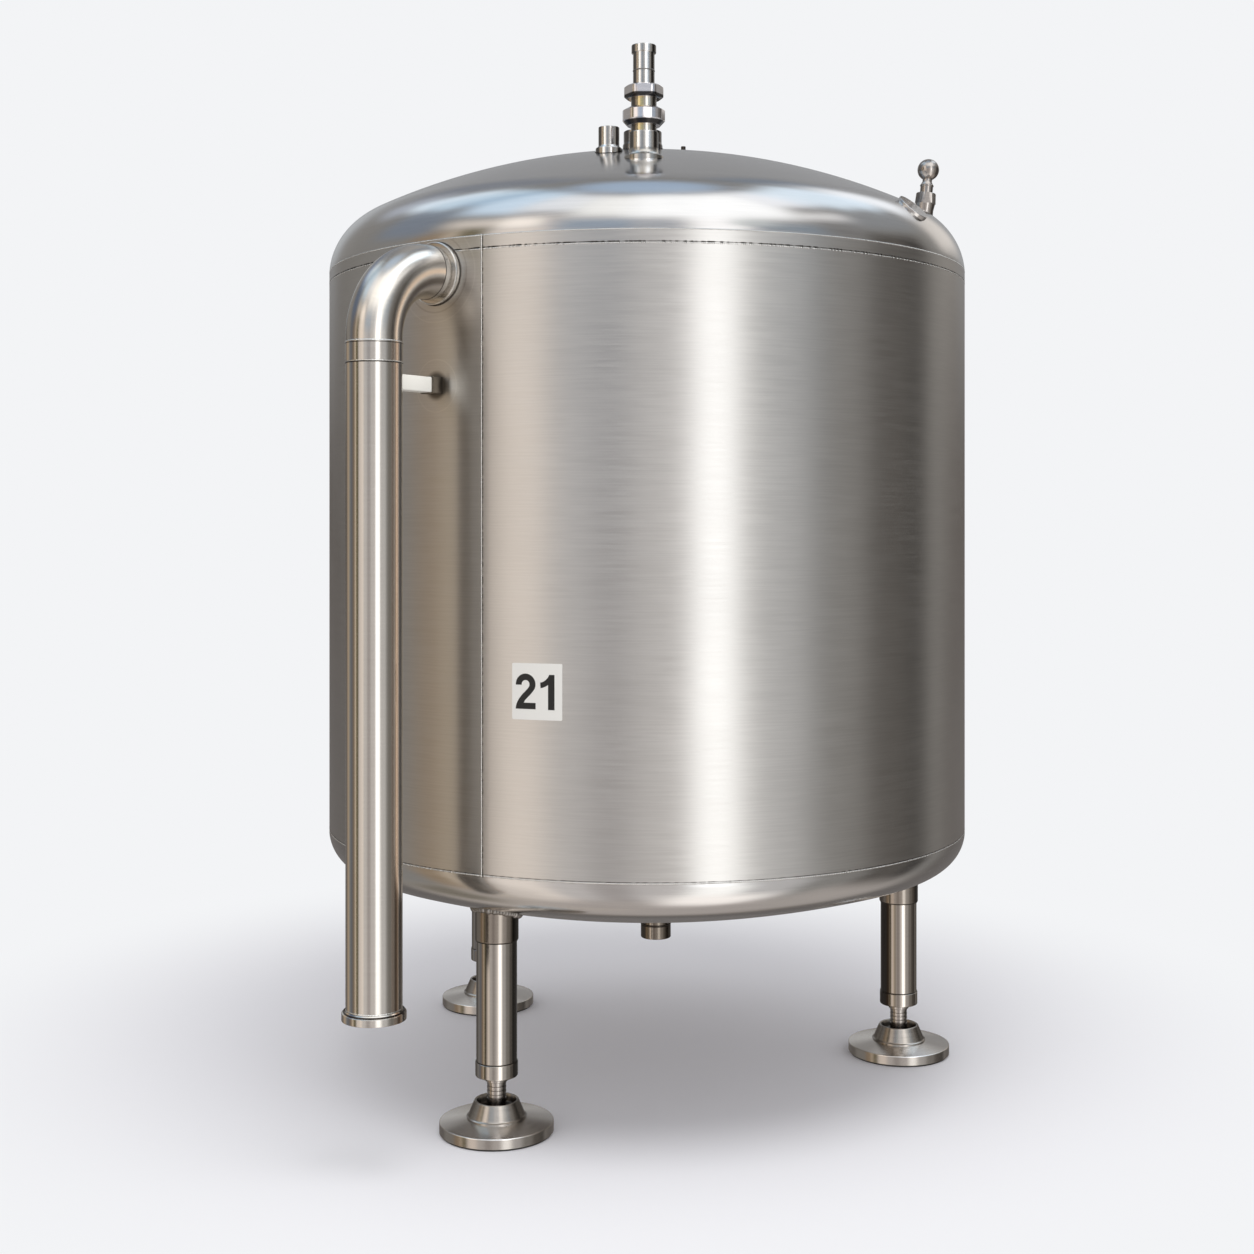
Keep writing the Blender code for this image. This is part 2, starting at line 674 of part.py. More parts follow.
def make_vent(envelope):
    """The vent fitting: stem, tapered nut and turned knob with a ball."""
    slot = "fitting_steel"
    place = {
        "location": knuckle_point(VENT_AZIMUTH, VENT_REACH),
        "rotation": (0.0, math.radians(VENT_LEAN), 0.0),
    }
    nut_bottom, nut_top = VENT_NUT_HEIGHTS
    foot_radius, stem_radius = VENT_STEM_RADII
    stem_profile = [
        (0.0, nut_bottom - GAP),
        (stem_radius, nut_bottom - GAP),
        (foot_radius, 0.0),
        (foot_radius, VENT_ROOT),
        (0.0, VENT_ROOT),
    ]
    stem = turned("vent_stem", stem_profile, slot, **place)
    boolean(stem, envelope)
    hexagon_bar("vent_nut", *VENT_NUT_RADII, nut_bottom, nut_top, slot, **place)
    throat_drop = math.sqrt(VENT_BALL_RADIUS**2 - VENT_THROAT_RADIUS**2)
    throat_angle = math.acos(-throat_drop / VENT_BALL_RADIUS)
    knob_profile = [
        (
            VENT_BALL_RADIUS * math.sin(angle),
            VENT_BALL_HEIGHT + VENT_BALL_RADIUS * math.cos(angle),
        )
        for angle in between(0.0, throat_angle, BALL_RINGS)
    ]
    knob_profile += [
        (VENT_NECK_RADIUS, VENT_RIDGE_HEIGHT + 2 * VENT_RIDGE),
        (VENT_RIDGE_RADIUS, VENT_RIDGE_HEIGHT + VENT_RIDGE),
        (VENT_RIDGE_RADIUS, VENT_RIDGE_HEIGHT - VENT_RIDGE),
        (VENT_NECK_RADIUS, VENT_RIDGE_HEIGHT - 2 * VENT_RIDGE),
        (VENT_NECK_RADIUS, nut_top + GAP),
        (0.0, nut_top + GAP),
    ]
    turned("vent_knob", knob_profile, slot, **place)


def make_drain(envelope):
    """The drain's neck and its closed ferrule."""
    place = beside_axis((DRAIN_OFFSET, 0.0))
    neck = rod(
        "drain_neck", DRAIN_NECK_RADIUS, DRAIN_JOINT_Z + GAP, BOTTOM_TANGENT_Z,
        "fitting_steel", location=place,
    )
    boolean(neck, envelope)
    profile = [
        (0.0, DRAIN_JOINT_Z),
        (DRAIN_RADIUS - DRAIN_EDGE, DRAIN_JOINT_Z),
        (DRAIN_RADIUS, DRAIN_JOINT_Z - DRAIN_EDGE),
        (DRAIN_RADIUS, DRAIN_BOTTOM_Z + DRAIN_EDGE),
        (DRAIN_RADIUS - DRAIN_EDGE, DRAIN_BOTTOM_Z),
        (0.0, DRAIN_BOTTOM_Z),
    ]
    turned("drain_ferrule", profile, "fitting_steel", place)


def make_number_plate():
    """The thin plate that follows the shell's curve."""
    inner = SHELL_RADIUS + GAP
    plate = ring(
        "number_plate", inner + PLATE_SHEET, inner,
        PLATE_Z - PLATE_HEIGHT / 2, PLATE_Z + PLATE_HEIGHT / 2,
        "plate_white", location=beside_axis((0, 0)), steps=BODY_STEPS,
    )
    window = box(
        "plate_window", (PLATE_WIDTH, PLATE_WIDTH, 2 * PLATE_HEIGHT), None,
        on_tank(PLATE_AZIMUTH, SHELL_RADIUS, PLATE_Z),
        (0.0, 0.0, math.radians(PLATE_AZIMUTH)),
    )
    boolean(plate, window, "INTERSECT")


def build_tank():
    """Models every piece of the tank."""
    envelope = make_envelope()
    wall, band = make_tank_body()
    make_overflow(wall, band, envelope)
    make_bracket(envelope)
    for name, (azimuth, sleeve_bottom) in LEGS.items():
        make_leg(name, azimuth, sleeve_bottom, envelope)
    make_nozzle_stack(envelope)
    make_plain_nozzle(
        "short_nozzle", SHORT_NOZZLE_PLACE, SHORT_NOZZLE_TOP_Z,
        SHORT_NOZZLE_RADIUS, SHORT_NOZZLE_COLLAR, envelope,
    )
    make_plain_nozzle(
        "rear_nozzle", REAR_NOZZLE_PLACE, REAR_NOZZLE_TOP_Z,
        REAR_NOZZLE_RADIUS, REAR_NOZZLE_COLLAR, envelope,
    )
    make_dome_plug(envelope)
    make_dome_pad(envelope)
    make_vent(envelope)
    make_drain(envelope)
    make_number_plate()


clear_scene()
PARTS = make_collection("vertical_storage_tank")
CUTTERS = make_collection("cutters")
build_tank()
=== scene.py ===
"""Looks of an upright stainless steel storage tank on three adjustable feet.

Metres, +Z up, the floor is z = 0. An azimuth is measured about the tank's axis from
the front (-Y) and is positive towards +X. Every piece is made in place, in the same
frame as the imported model, and stands for the plain solids that it replaces.
"""

import logging
import math
from collections.abc import Sequence
from dataclasses import dataclass, field, replace
from enum import Enum
from typing import ClassVar, NamedTuple

import bmesh
import bpy
from bpy.types import Material, Node, NodeSocket, NodeTree, Object, Scene
from mathutils import Matrix, Vector


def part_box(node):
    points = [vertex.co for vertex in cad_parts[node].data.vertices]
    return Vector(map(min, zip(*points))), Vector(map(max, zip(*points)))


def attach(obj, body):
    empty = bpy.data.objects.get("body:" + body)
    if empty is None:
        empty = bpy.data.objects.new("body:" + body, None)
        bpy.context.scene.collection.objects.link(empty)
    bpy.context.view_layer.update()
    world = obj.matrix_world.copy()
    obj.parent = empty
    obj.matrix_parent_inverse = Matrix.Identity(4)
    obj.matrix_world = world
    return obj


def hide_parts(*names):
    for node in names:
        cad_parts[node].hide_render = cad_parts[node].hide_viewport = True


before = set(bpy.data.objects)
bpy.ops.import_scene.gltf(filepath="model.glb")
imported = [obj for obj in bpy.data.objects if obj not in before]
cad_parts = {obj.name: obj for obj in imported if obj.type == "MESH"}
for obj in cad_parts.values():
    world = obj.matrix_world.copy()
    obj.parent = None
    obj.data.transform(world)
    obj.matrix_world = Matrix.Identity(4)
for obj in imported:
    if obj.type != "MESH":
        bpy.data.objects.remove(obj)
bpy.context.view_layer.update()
SHELL_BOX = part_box("shell_wall")

LOG = logging.getLogger("tank")
RUN = "Run"
MILLIMETRE = 0.001
UP = Vector((0.0, 0.0, 1.0))
# A hexagon's distance to its flats for each unit of distance to its corners
FLAT = math.cos(math.radians(30))
# Where most of a noise texture's values lie
NOISE_SPAN = (0.3, 0.7)

Outline = list[tuple[float, float]]
Path = list[tuple[Vector, Vector]]
Feed = Node | NodeSocket


# ------------------------------------------------------------------ colours and nodes


def linear(code: str, strength: float = 1.0) -> tuple[float, float, float, float]:
    """Turns an sRGB hex colour into Blender's linear colour.

    Args:
        code: The colour, such as "#CBC7C2".
        strength: What its red, green and blue are multiplied by.

    Returns:
        Linear red, green, blue and an alpha of 1.
    """
    shares = (int(code[i : i + 2], 16) / 255 for i in (1, 3, 5))
    curve = (s / 12.92 if s <= 0.04045 else ((s + 0.055) / 1.055) ** 2.4 for s in shares)
    red, green, blue = (value * strength for value in curve)
    return red, green, blue, 1.0


def add_node(
    tree: NodeTree,
    kind: str,
    inputs: Sequence[object] | dict[str | int, object] = (),
    **settings: object,
) -> Node:
    """Adds a node with its settings, its input values and its links.

    Args:
        tree: The tree that gets the node.
        kind: The node's type, such as "ShaderNodeMath".
        inputs: In order, or by socket name or number, a value or what feeds the socket.
            A node feeds it from its first output in use.
        **settings: The node's own properties.

    Returns:
        The new node.
    """
    node = tree.nodes.new(kind)
    for name, value in settings.items():
        setattr(node, name, value)
    for socket, value in inputs.items() if isinstance(inputs, dict) else enumerate(inputs):
        if isinstance(value, Node):
            value = next(output for output in value.outputs if output.enabled)
        if isinstance(value, NodeSocket):
            tree.links.new(value, node.inputs[socket])
        else:
            node.inputs[socket].default_value = value
    return node


def empty_material(name: str) -> tuple[Material, NodeTree]:
    """Makes a material whose tree has no nodes yet.

    Args:
        name: The material's name.

    Returns:
        The material and its tree.
    """
    material = bpy.data.materials.new(name)
    material.use_nodes = True
    material.node_tree.nodes.clear()
    return material, material.node_tree


# ------------------------------------------------------------------ plain geometry


def arc(
    centre: tuple[float, float],
    radii: tuple[float, float],
    start: float,
    stop: float,
    steps: int,
) -> Outline:
    """Lists points along an arc.

    Args:
        centre: Its centre.
        radii: Its radius along the first axis and along the second.
        start: The angle in degrees, from the first axis, at which it starts.
        stop: The angle at which it ends.
        steps: Its steps.

    Returns:
        The points.
    """
    turns = [math.radians(start + (stop - start) * i / steps) for i in range(steps + 1)]
    return [(centre[0] + radii[0] * math.cos(a), centre[1] + radii[1] * math.sin(a)) for a in turns]


def spokes(count: int) -> list[Vector]:
    """Level unit directions in equal turns, starting at +X."""
    turns = [math.tau * i / count for i in range(count)]
    return [Vector((math.cos(a), math.sin(a), 0.0)) for a in turns]


class Corner(NamedTuple):
    """A corner of a turned outline: its radius and height, and how far it is rounded."""

    radius: float
    z: float
    round: float = 0.0


def rounded(corners: Sequence[tuple[float, ...]], steps: int = 4) -> Outline:
    """Rounds the corners of an outline.

    Each rounding has a support point on both sides, so that the long faces beside it
    stay flat when they are smoothly shaded.

    Args:
        corners: The outline's corners in order, each as the fields of a Corner.
        steps: Steps of each rounding.

    Returns:
        Points (radius, z).
    """
    corners = [Corner(*corner) for corner in corners]
    points: Outline = []
    for i, corner in enumerate(corners):
        here = Vector((corner.radius, corner.z))
        if corner.round == 0 or i in (0, len(corners) - 1):
            points.append((here.x, here.y))
            continue
        before, after = (Vector((c.radius, c.z)) for c in (corners[i - 1], corners[i + 1]))
        back, ahead = before - here, after - here
        half = back.angle(ahead) / 2
        trim = min(corner.round / math.tan(half), 0.45 * back.length, 0.45 * ahead.length)
        start, finish = here + back.normalized() * trim, here + ahead.normalized() * trim
        points.append(tuple(start + back.normalized() * 0.1 * trim))
        for step in range(steps + 1):
            t = step / steps
            points.append(tuple(start * (1 - t) ** 2 + here * 2 * t * (1 - t) + finish * t**2))
        points.append(tuple(finish + ahead.normalized() * 0.1 * trim))
    return points


def section(
    bore: float,
    radius: float,
    first: float,
    last: float,
    rounds: tuple[float, float] = (0.0, 0.0),
) -> Outline:
    """Outlines a length of tube, or of bar where the bore is nothing.

    Args:
        bore: The inner radius.
        radius: The outer radius.
        first: The height at which the outline starts.
        last: The height at which it ends.
        rounds: How far the outer corner is rounded at each of them.

    Returns:
        Points (radius, z).
    """
    outer = [(radius, first, rounds[0]), (radius, last, rounds[1])]
    return rounded([(bore, first), *outer, (bore, last)])


# ------------------------------------------------------------------ the tank's outline


class End(Enum):
    """The tank's two dished ends, by the direction in which each bulges."""

    TOP = 1
    BOTTOM = -1


@dataclass(frozen=True)
class TankForm:
    """The outline of the tank's body, which every welded piece sits on."""

    radius: float = 0.700
    sheet: float = 0.004
    bottom_tangent: float = 0.528
    bottom_seam: float = 0.5295
    upper_seam: float = 1.711
    top_tangent: float = 1.727
    band_top: float = 1.734
    crowns: dict[End, float] = field(default_factory=lambda: {End.TOP: 1.400, End.BOTTOM: 2.100})
    knuckles: dict[End, float] = field(default_factory=lambda: {End.TOP: 0.140, End.BOTTOM: 0.078})
    axis_y: float = (SHELL_BOX[0].y + SHELL_BOX[1].y) / 2
    overflow_azimuth: float = -35.75
    overflow_z: float = 1.669
    bracket_z: float = 1.455
    ring_steps: int = 72
    seat_depth: float = 0.0012
    seat_tries: int = 40
    seat_tolerance: float = 0.00001

    def outward(self, azimuth: float) -> Vector:
        """The level direction away from the tank's axis at an azimuth in degrees."""
        angle = math.radians(azimuth)
        return Vector((math.sin(angle), -math.cos(angle), 0.0))

    def at(self, azimuth: float, reach: float, z: float = 0.0) -> Vector:
        """The world point at an azimuth in degrees and a distance from the axis."""
        angle = math.radians(azimuth)
        return Vector((reach * math.sin(angle), self.axis_y - reach * math.cos(angle), z))

    def upright(self, x: float = 0.0, y: float = 0.0) -> Matrix:
        """An upright axis at a place measured from the tank's own axis."""
        return Matrix.Translation((x, self.axis_y + y, 0.0))

    def sideways(self, azimuth: float, z: float) -> Matrix:
        """A level axis from the tank's own axis, whose +Z points out of the shell."""
        turn = Matrix.Rotation(math.radians(azimuth), 4, "Z") @ Matrix.Rotation(math.pi / 2, 4, "X")
        return Matrix.Translation((0.0, self.axis_y, z)) @ turn

    def tangent_z(self, end: End) -> float:
        """The height at which an end's knuckle meets its straight flange."""
        return self.top_tangent if end is End.TOP else self.bottom_tangent

    def slope(self, end: End) -> float:
        """The normal's angle from vertical where an end's crown meets its knuckle."""
        crown, knuckle = self.crowns[end], self.knuckles[end]
        return math.asin((self.radius - knuckle) / (crown - knuckle))

    def crown_centre(self, end: End) -> float:
        """The height of the centre of an end's crown sphere."""
        drop = (self.crowns[end] - self.knuckles[end]) * math.cos(self.slope(end))
        return self.tangent_z(end) - end.value * drop

    def end_outline(self, end: End, inset: float, crown_rings: int, knuckle_rings: int) -> Outline:
        """Lists an end's outline from its middle out to the tangent line.

        Args:
            end: The end.
            inset: How far inside the outer skin the outline lies.
            crown_rings: Steps on the crown.
            knuckle_rings: Steps on the knuckle.

        Returns:
            Points (radius, z).
        """
        crown, knuckle = self.crowns[end] - inset, self.knuckles[end] - inset
        joint, way = 90 - math.degrees(self.slope(end)), end.value
        points = arc((0.0, self.crown_centre(end)), (crown, way * crown), 90, joint, crown_rings)
        corner = (self.radius - self.knuckles[end], self.tangent_z(end))
        return points + arc(corner, (knuckle, way * knuckle), joint, 0, knuckle_rings)[1:]

    def surface(self, point: Vector) -> tuple[float, Vector]:
        """Measures how far a point is from the tank's skin.

        Args:
            point: A world point.

        Returns:
            The distance, negative inside the tank, and the skin's outward normal.
        """
        flat = Vector((point.x, point.y - self.axis_y, 0.0))
        reach = max(flat.length, 1e-9)
        outward = flat / reach
        end = End.TOP if point.z > self.top_tangent else End.BOTTOM
        tangent = self.tangent_z(end)
        if (point.z - tangent) * end.value <= 0:
            depths = [(reach - self.radius, outward)]
            for each in End:
                offset = point - Vector((0.0, self.axis_y, self.crown_centre(each)))
                depths.append((offset.length - self.crowns[each], offset.normalized()))
            return max(depths, key=lambda depth: depth[0])
        size = self.knuckles[end]
        across, rise = reach - self.radius + size, point.z - tangent
        offset = outward * across + UP * rise
        if math.atan2(across, abs(rise)) < self.slope(end):
            offset = point - Vector((0.0, self.axis_y, self.crown_centre(end)))
            size = self.crowns[end]
        return offset.length - size, offset.normalized()

    def height(self, end: End, x: float, y: float) -> float:
        """The height of an end's skin above a world place."""
        return self.seated(Vector((x, y, self.tangent_z(end))), UP * end.value, 0.0).z

    def seated(self, point: Vector, outward: Vector, depth: float | None = None) -> Vector:
        """Moves a point that is deep in the tank out along a line to just under the skin.

        Args:
            point: A world point.
            outward: The direction to move in.
            depth: How far under the skin it ends, or None for the usual depth.

        Returns:
            The point, moved only if it was deeper than that.
        """
        place = point.copy()
        for _ in range(self.seat_tries):
            distance = self.surface(place)[0] + (self.seat_depth if depth is None else depth)
            if distance > -self.seat_tolerance:
                break
            place -= outward * distance
        return place

    def ring_on_end(self, end: End, centre: Vector, radius: float) -> Path:
        """Traces where an upright round piece meets an end.

        Args:
            end: The end.
            centre: A world point on the piece's axis.
            radius: The piece's radius.

        Returns:
            Points with the direction that a weld there faces.
        """
        path = []
        for away in spokes(self.ring_steps):
            x, y = centre.x + radius * away.x, centre.y + radius * away.y
            place = Vector((x, y, self.height(end, x, y)))
            path.append((place, (self.surface(place)[1] + away).normalized()))
        return path

    def ring_on_shell(self, axis: Matrix, radius: float) -> Path:
        """Traces where a round piece that points outwards meets the shell.

        Args:
            axis: The piece's axis, as given by sideways.
            radius: The piece's radius.

        Returns:
            Points with the direction that a weld there faces.
        """
        path, turn = [], axis.to_3x3()
        for away in spokes(self.ring_steps):
            reach = math.sqrt(self.radius**2 - (radius * away.x) ** 2)
            path.append((axis @ (away * radius + UP * reach), (turn @ (away + UP)).normalized()))
        return path

    @staticmethod
    def ring_on_tube(axis: Matrix, radius: float, z: float, steps: int) -> Path:
        """Traces a ring round a tube, with its outward directions.

        Args:
            axis: The tube's axis.
            radius: The ring's radius.
            z: Its height along the axis.
            steps: Points on it.

        Returns:
            Points with the direction that a weld there faces.
        """
        path, turn = [], axis.to_3x3()
        for away in spokes(steps):
            path.append((axis @ (away * radius + UP * z), (turn @ away).normalized()))
        return path

    def hoop(self, radius: float, z: float, steps: int = 360) -> Path:
        """Lists a level circle about the tank's axis with its outward directions."""
        turns = [360 * i / steps for i in range(steps)]
        return [(self.at(turn, radius, z), self.outward(turn)) for turn in turns]

    def upright_line(self, azimuth: float, reach: float, steps: int = 60) -> Path:
        """Lists a line up the shell from seam to seam.

        Args:
            azimuth: The line's azimuth.
            reach: Its distance from the tank's axis.
            steps: Its steps.

        Returns:
            Points with their outward directions.
        """
        rise = (self.band_top - self.bottom_seam) / steps
        heights = [self.bottom_seam + rise * i for i in range(steps + 1)]
        return [(self.at(azimuth, reach, z), self.outward(azimuth)) for z in heights]


FORM = TankForm()


# ------------------------------------------------------------------ making meshes


def as_object(name: str, shape: bmesh.types.BMesh, sharp: float = 32.0) -> Object:
    """Turns a bmesh into an object of the scene.

    Args:
        name: The object's name.
        shape: The bmesh, which is freed.
        sharp: The angle in degrees past which an edge stays sharp.

    Returns:
        The new object.
    """
    mesh = bpy.data.meshes.new(name)
    shape.to_mesh(mesh)
    shape.free()
    mesh.set_sharp_from_angle(angle=math.radians(sharp))
    thing = bpy.data.objects.new(name, mesh)
    bpy.context.scene.collection.objects.link(thing)
    return thing


def skin(
    name: str, rings: Sequence[Sequence[Vector]], runs: Sequence[float], loop: bool = False
) -> Object:
    """Joins rings of points into a closed mesh with a UV map of its run.

    Args:
        name: The piece's name.
        rings: Rings with equal counts of points, or one point where the skin closes.
        runs: The distance run along the outline at each ring.
        loop: True where the last ring joins the first.

    Returns:
        The new object.
    """
    shape = bmesh.new()
    map_layer = shape.loops.layers.uv.new(RUN)
    made = [[shape.verts.new(point) for point in ring] for ring in rings]
    count = max(len(ring) for ring in made)
    pairs = list(zip(range(len(made)), range(1, len(made))))
    if loop:
        pairs.append((len(made) - 1, 0))
    for a, b in pairs:
        run_b = runs[b] if b else runs[a] + (rings[a][0] - rings[0][0]).length
        for j in range(count):
            k = (j + 1) % count
            corners = [(a, j, j), (a, k, j + 1), (b, k, j + 1), (b, j, j)]
            if len(made[a]) == 1:
                corners.pop(1)
            elif len(made[b]) == 1:
                corners.pop(2)
            face = shape.faces.new([made[r][v % len(made[r])] for r, v, _ in corners])
            face.smooth = True
            for corner_loop, (r, _, v) in zip(face.loops, corners):
                corner_loop[map_layer].uv = (runs[a] if r == a else run_b, v / count)
    bmesh.ops.recalc_face_normals(shape, faces=shape.faces)
    return as_object(name, shape)


def turned(
    name: str,
    outline: Outline,
    place: Matrix,
    steps: int = 96,
    seat: Vector | None = None,
    apothem: float | None = None,
) -> Object:
    """Turns an outline about +Z, as on a lathe.

    Args:
        name: The piece's name.
        outline: Points (radius, z), closed if it starts away from the axis.
        place: Where the piece goes.
        steps: Steps round the axis.
        seat: The direction in which points inside the tank are brought to its skin.
        apothem: Half the width across flats, where the piece is hexagonal.

    Returns:
        The new object.
    """
    rings, runs, run, tiny = [], [], 0.0, 1e-7
    for i, (radius, z) in enumerate(outline):
        if i:
            run += math.dist(outline[i - 1], outline[i])
        ring = []
        for j in range(steps if radius > tiny else 1):
            angle = math.tau * j / steps
            reach = radius
            if apothem:
                off_flat = (math.degrees(angle) % 60) - 30
                reach = min(radius, apothem / math.cos(math.radians(off_flat)))
            point = place @ Vector((reach * math.cos(angle), reach * math.sin(angle), z))
            ring.append(FORM.seated(point, seat) if seat else point)
        rings.append(ring)
        runs.append(run)
    return skin(name, rings, runs, loop=outline[0][0] > tiny)


def tube_along(
    name: str, path: Sequence[Vector], side: Vector, outer: float, inner: float, steps: int = 96
) -> Object:
    """Sweeps a round tube along a path that lies in one plane.

    Args:
        name: The piece's name.
        path: The centre line.
        side: The direction across that plane.
        outer: The outer radius.
        inner: The bore's radius.
        steps: Steps round the tube.

    Returns:
        The new object.
    """
    rings, runs = [], []
    turn = [math.tau * j / steps for j in range(steps)]
    for radius, order in ((outer, 1), (inner, -1)):
        rows, run = [], 0.0
        for i, centre in enumerate(path):
            ahead = path[min(i + 1, len(path) - 1)] - path[max(i - 1, 0)]
            across = side.cross(ahead).normalized()
            if i:
                run += (centre - path[i - 1]).length
            ring = [centre + radius * (math.cos(a) * across + math.sin(a) * side) for a in turn]
            rows.append((ring, run))
        for ring, run in rows[::order]:
            rings.append(ring)
            runs.append(run)
    return skin(name, rings, runs, loop=True)


def block(name: str, size: Vector, place: Matrix, edge: float) -> Object:
    """Makes a block with softly broken edges.

    Args:
        name: The piece's name.
        size: Its three sizes.
        place: Where its middle goes.
        edge: How wide the broken edges are.

    Returns:
        The new object.
    """
    shape = bmesh.new()
    bmesh.ops.create_cube(shape, size=1.0, matrix=Matrix.Diagonal((*size, 1.0)))
    bmesh.ops.bevel(
        shape, geom=shape.edges[:], offset=edge, segments=3, profile=0.5, affect="EDGES"
    )
    bmesh.ops.transform(shape, matrix=place, verts=shape.verts)
    for face in shape.faces:
        face.smooth = True
    return as_object(name, shape, sharp=50.0)


def wrapped(
    name: str, outlines: Sequence[Outline], low: float, high: float, place: tuple[float, float]
) -> Object:
    """Lays flat shapes of one thickness round the shell.

    Args:
        name: The piece's name.
        outlines: Closed outlines of points (across, up) in metres.
        low: The distance from the axis of their backs.
        high: The distance from the axis of their faces.
        place: The azimuth in degrees and the height of their middle.

    Returns:
        The new object.
    """
    shape = bmesh.new()
    for outline in outlines:
        face = shape.faces.new([shape.verts.new((u, 0.0, v)) for u, v in outline])
        front = bmesh.ops.extrude_face_region(shape, geom=[face])
        moved = [item for item in front["geom"] if isinstance(item, bmesh.types.BMVert)]
        bmesh.ops.translate(shape, vec=(0, low - high, 0), verts=moved)
    widest = 4 * MILLIMETRE
    left, right = (side(vert.co.x for vert in shape.verts) for side in (min, max))
    cuts = int((right - left) / widest)
    for i in range(1, cuts + 1):
        spot = left + (right - left) * i / (cuts + 1)
        everything = shape.verts[:] + shape.edges[:] + shape.faces[:]
        bmesh.ops.bisect_plane(shape, geom=everything, plane_co=(spot, 0, 0), plane_no=(1, 0, 0))
    bmesh.ops.recalc_face_normals(shape, faces=shape.faces)
    for vert in shape.verts:
        u, w, v = vert.co
        vert.co = FORM.at(place[0] + math.degrees(u / high), low - w, place[1] + v)
    return as_object(name, shape)


# ------------------------------------------------------------------ finishes


class Polish(Enum):
    """How a steel surface was worked: its roughness and how far its highlights stretch."""

    BRUSHED = (0.33, 0.80)
    SPUN = (0.18, 0.35)
    DRAWN = (0.17, 0.80)
    BENT = (0.22, 0.70)
    TURNED = (0.20, 0.70)
    FACED = (0.23, 0.70)
    MILLED = (0.15, 0.30)
    PLAIN = (0.24, 0.0)


class Halo(NamedTuple):
    """A round patch of changed tone about a point, such as the polish round a weld, or a painted
    shadow.
    """

    centre: Vector
    inner: float
    outer: float
    soft: float
    colour: str
    share: float


class PaintedLightStripe(NamedTuple):
    """A stripe of painted highlight, reflection or shade along a round piece, placed by the azimuth
    that it faces.
    """

    azimuth: float
    half_width: float
    soft: float
    colour: str
    share: float = 1.0


class PaintedShadeBand(NamedTuple):
    """A band of painted shade round a turned piece, placed by its run along the outline."""

    low: float
    high: float
    soft: float
    colour: str
    share: float


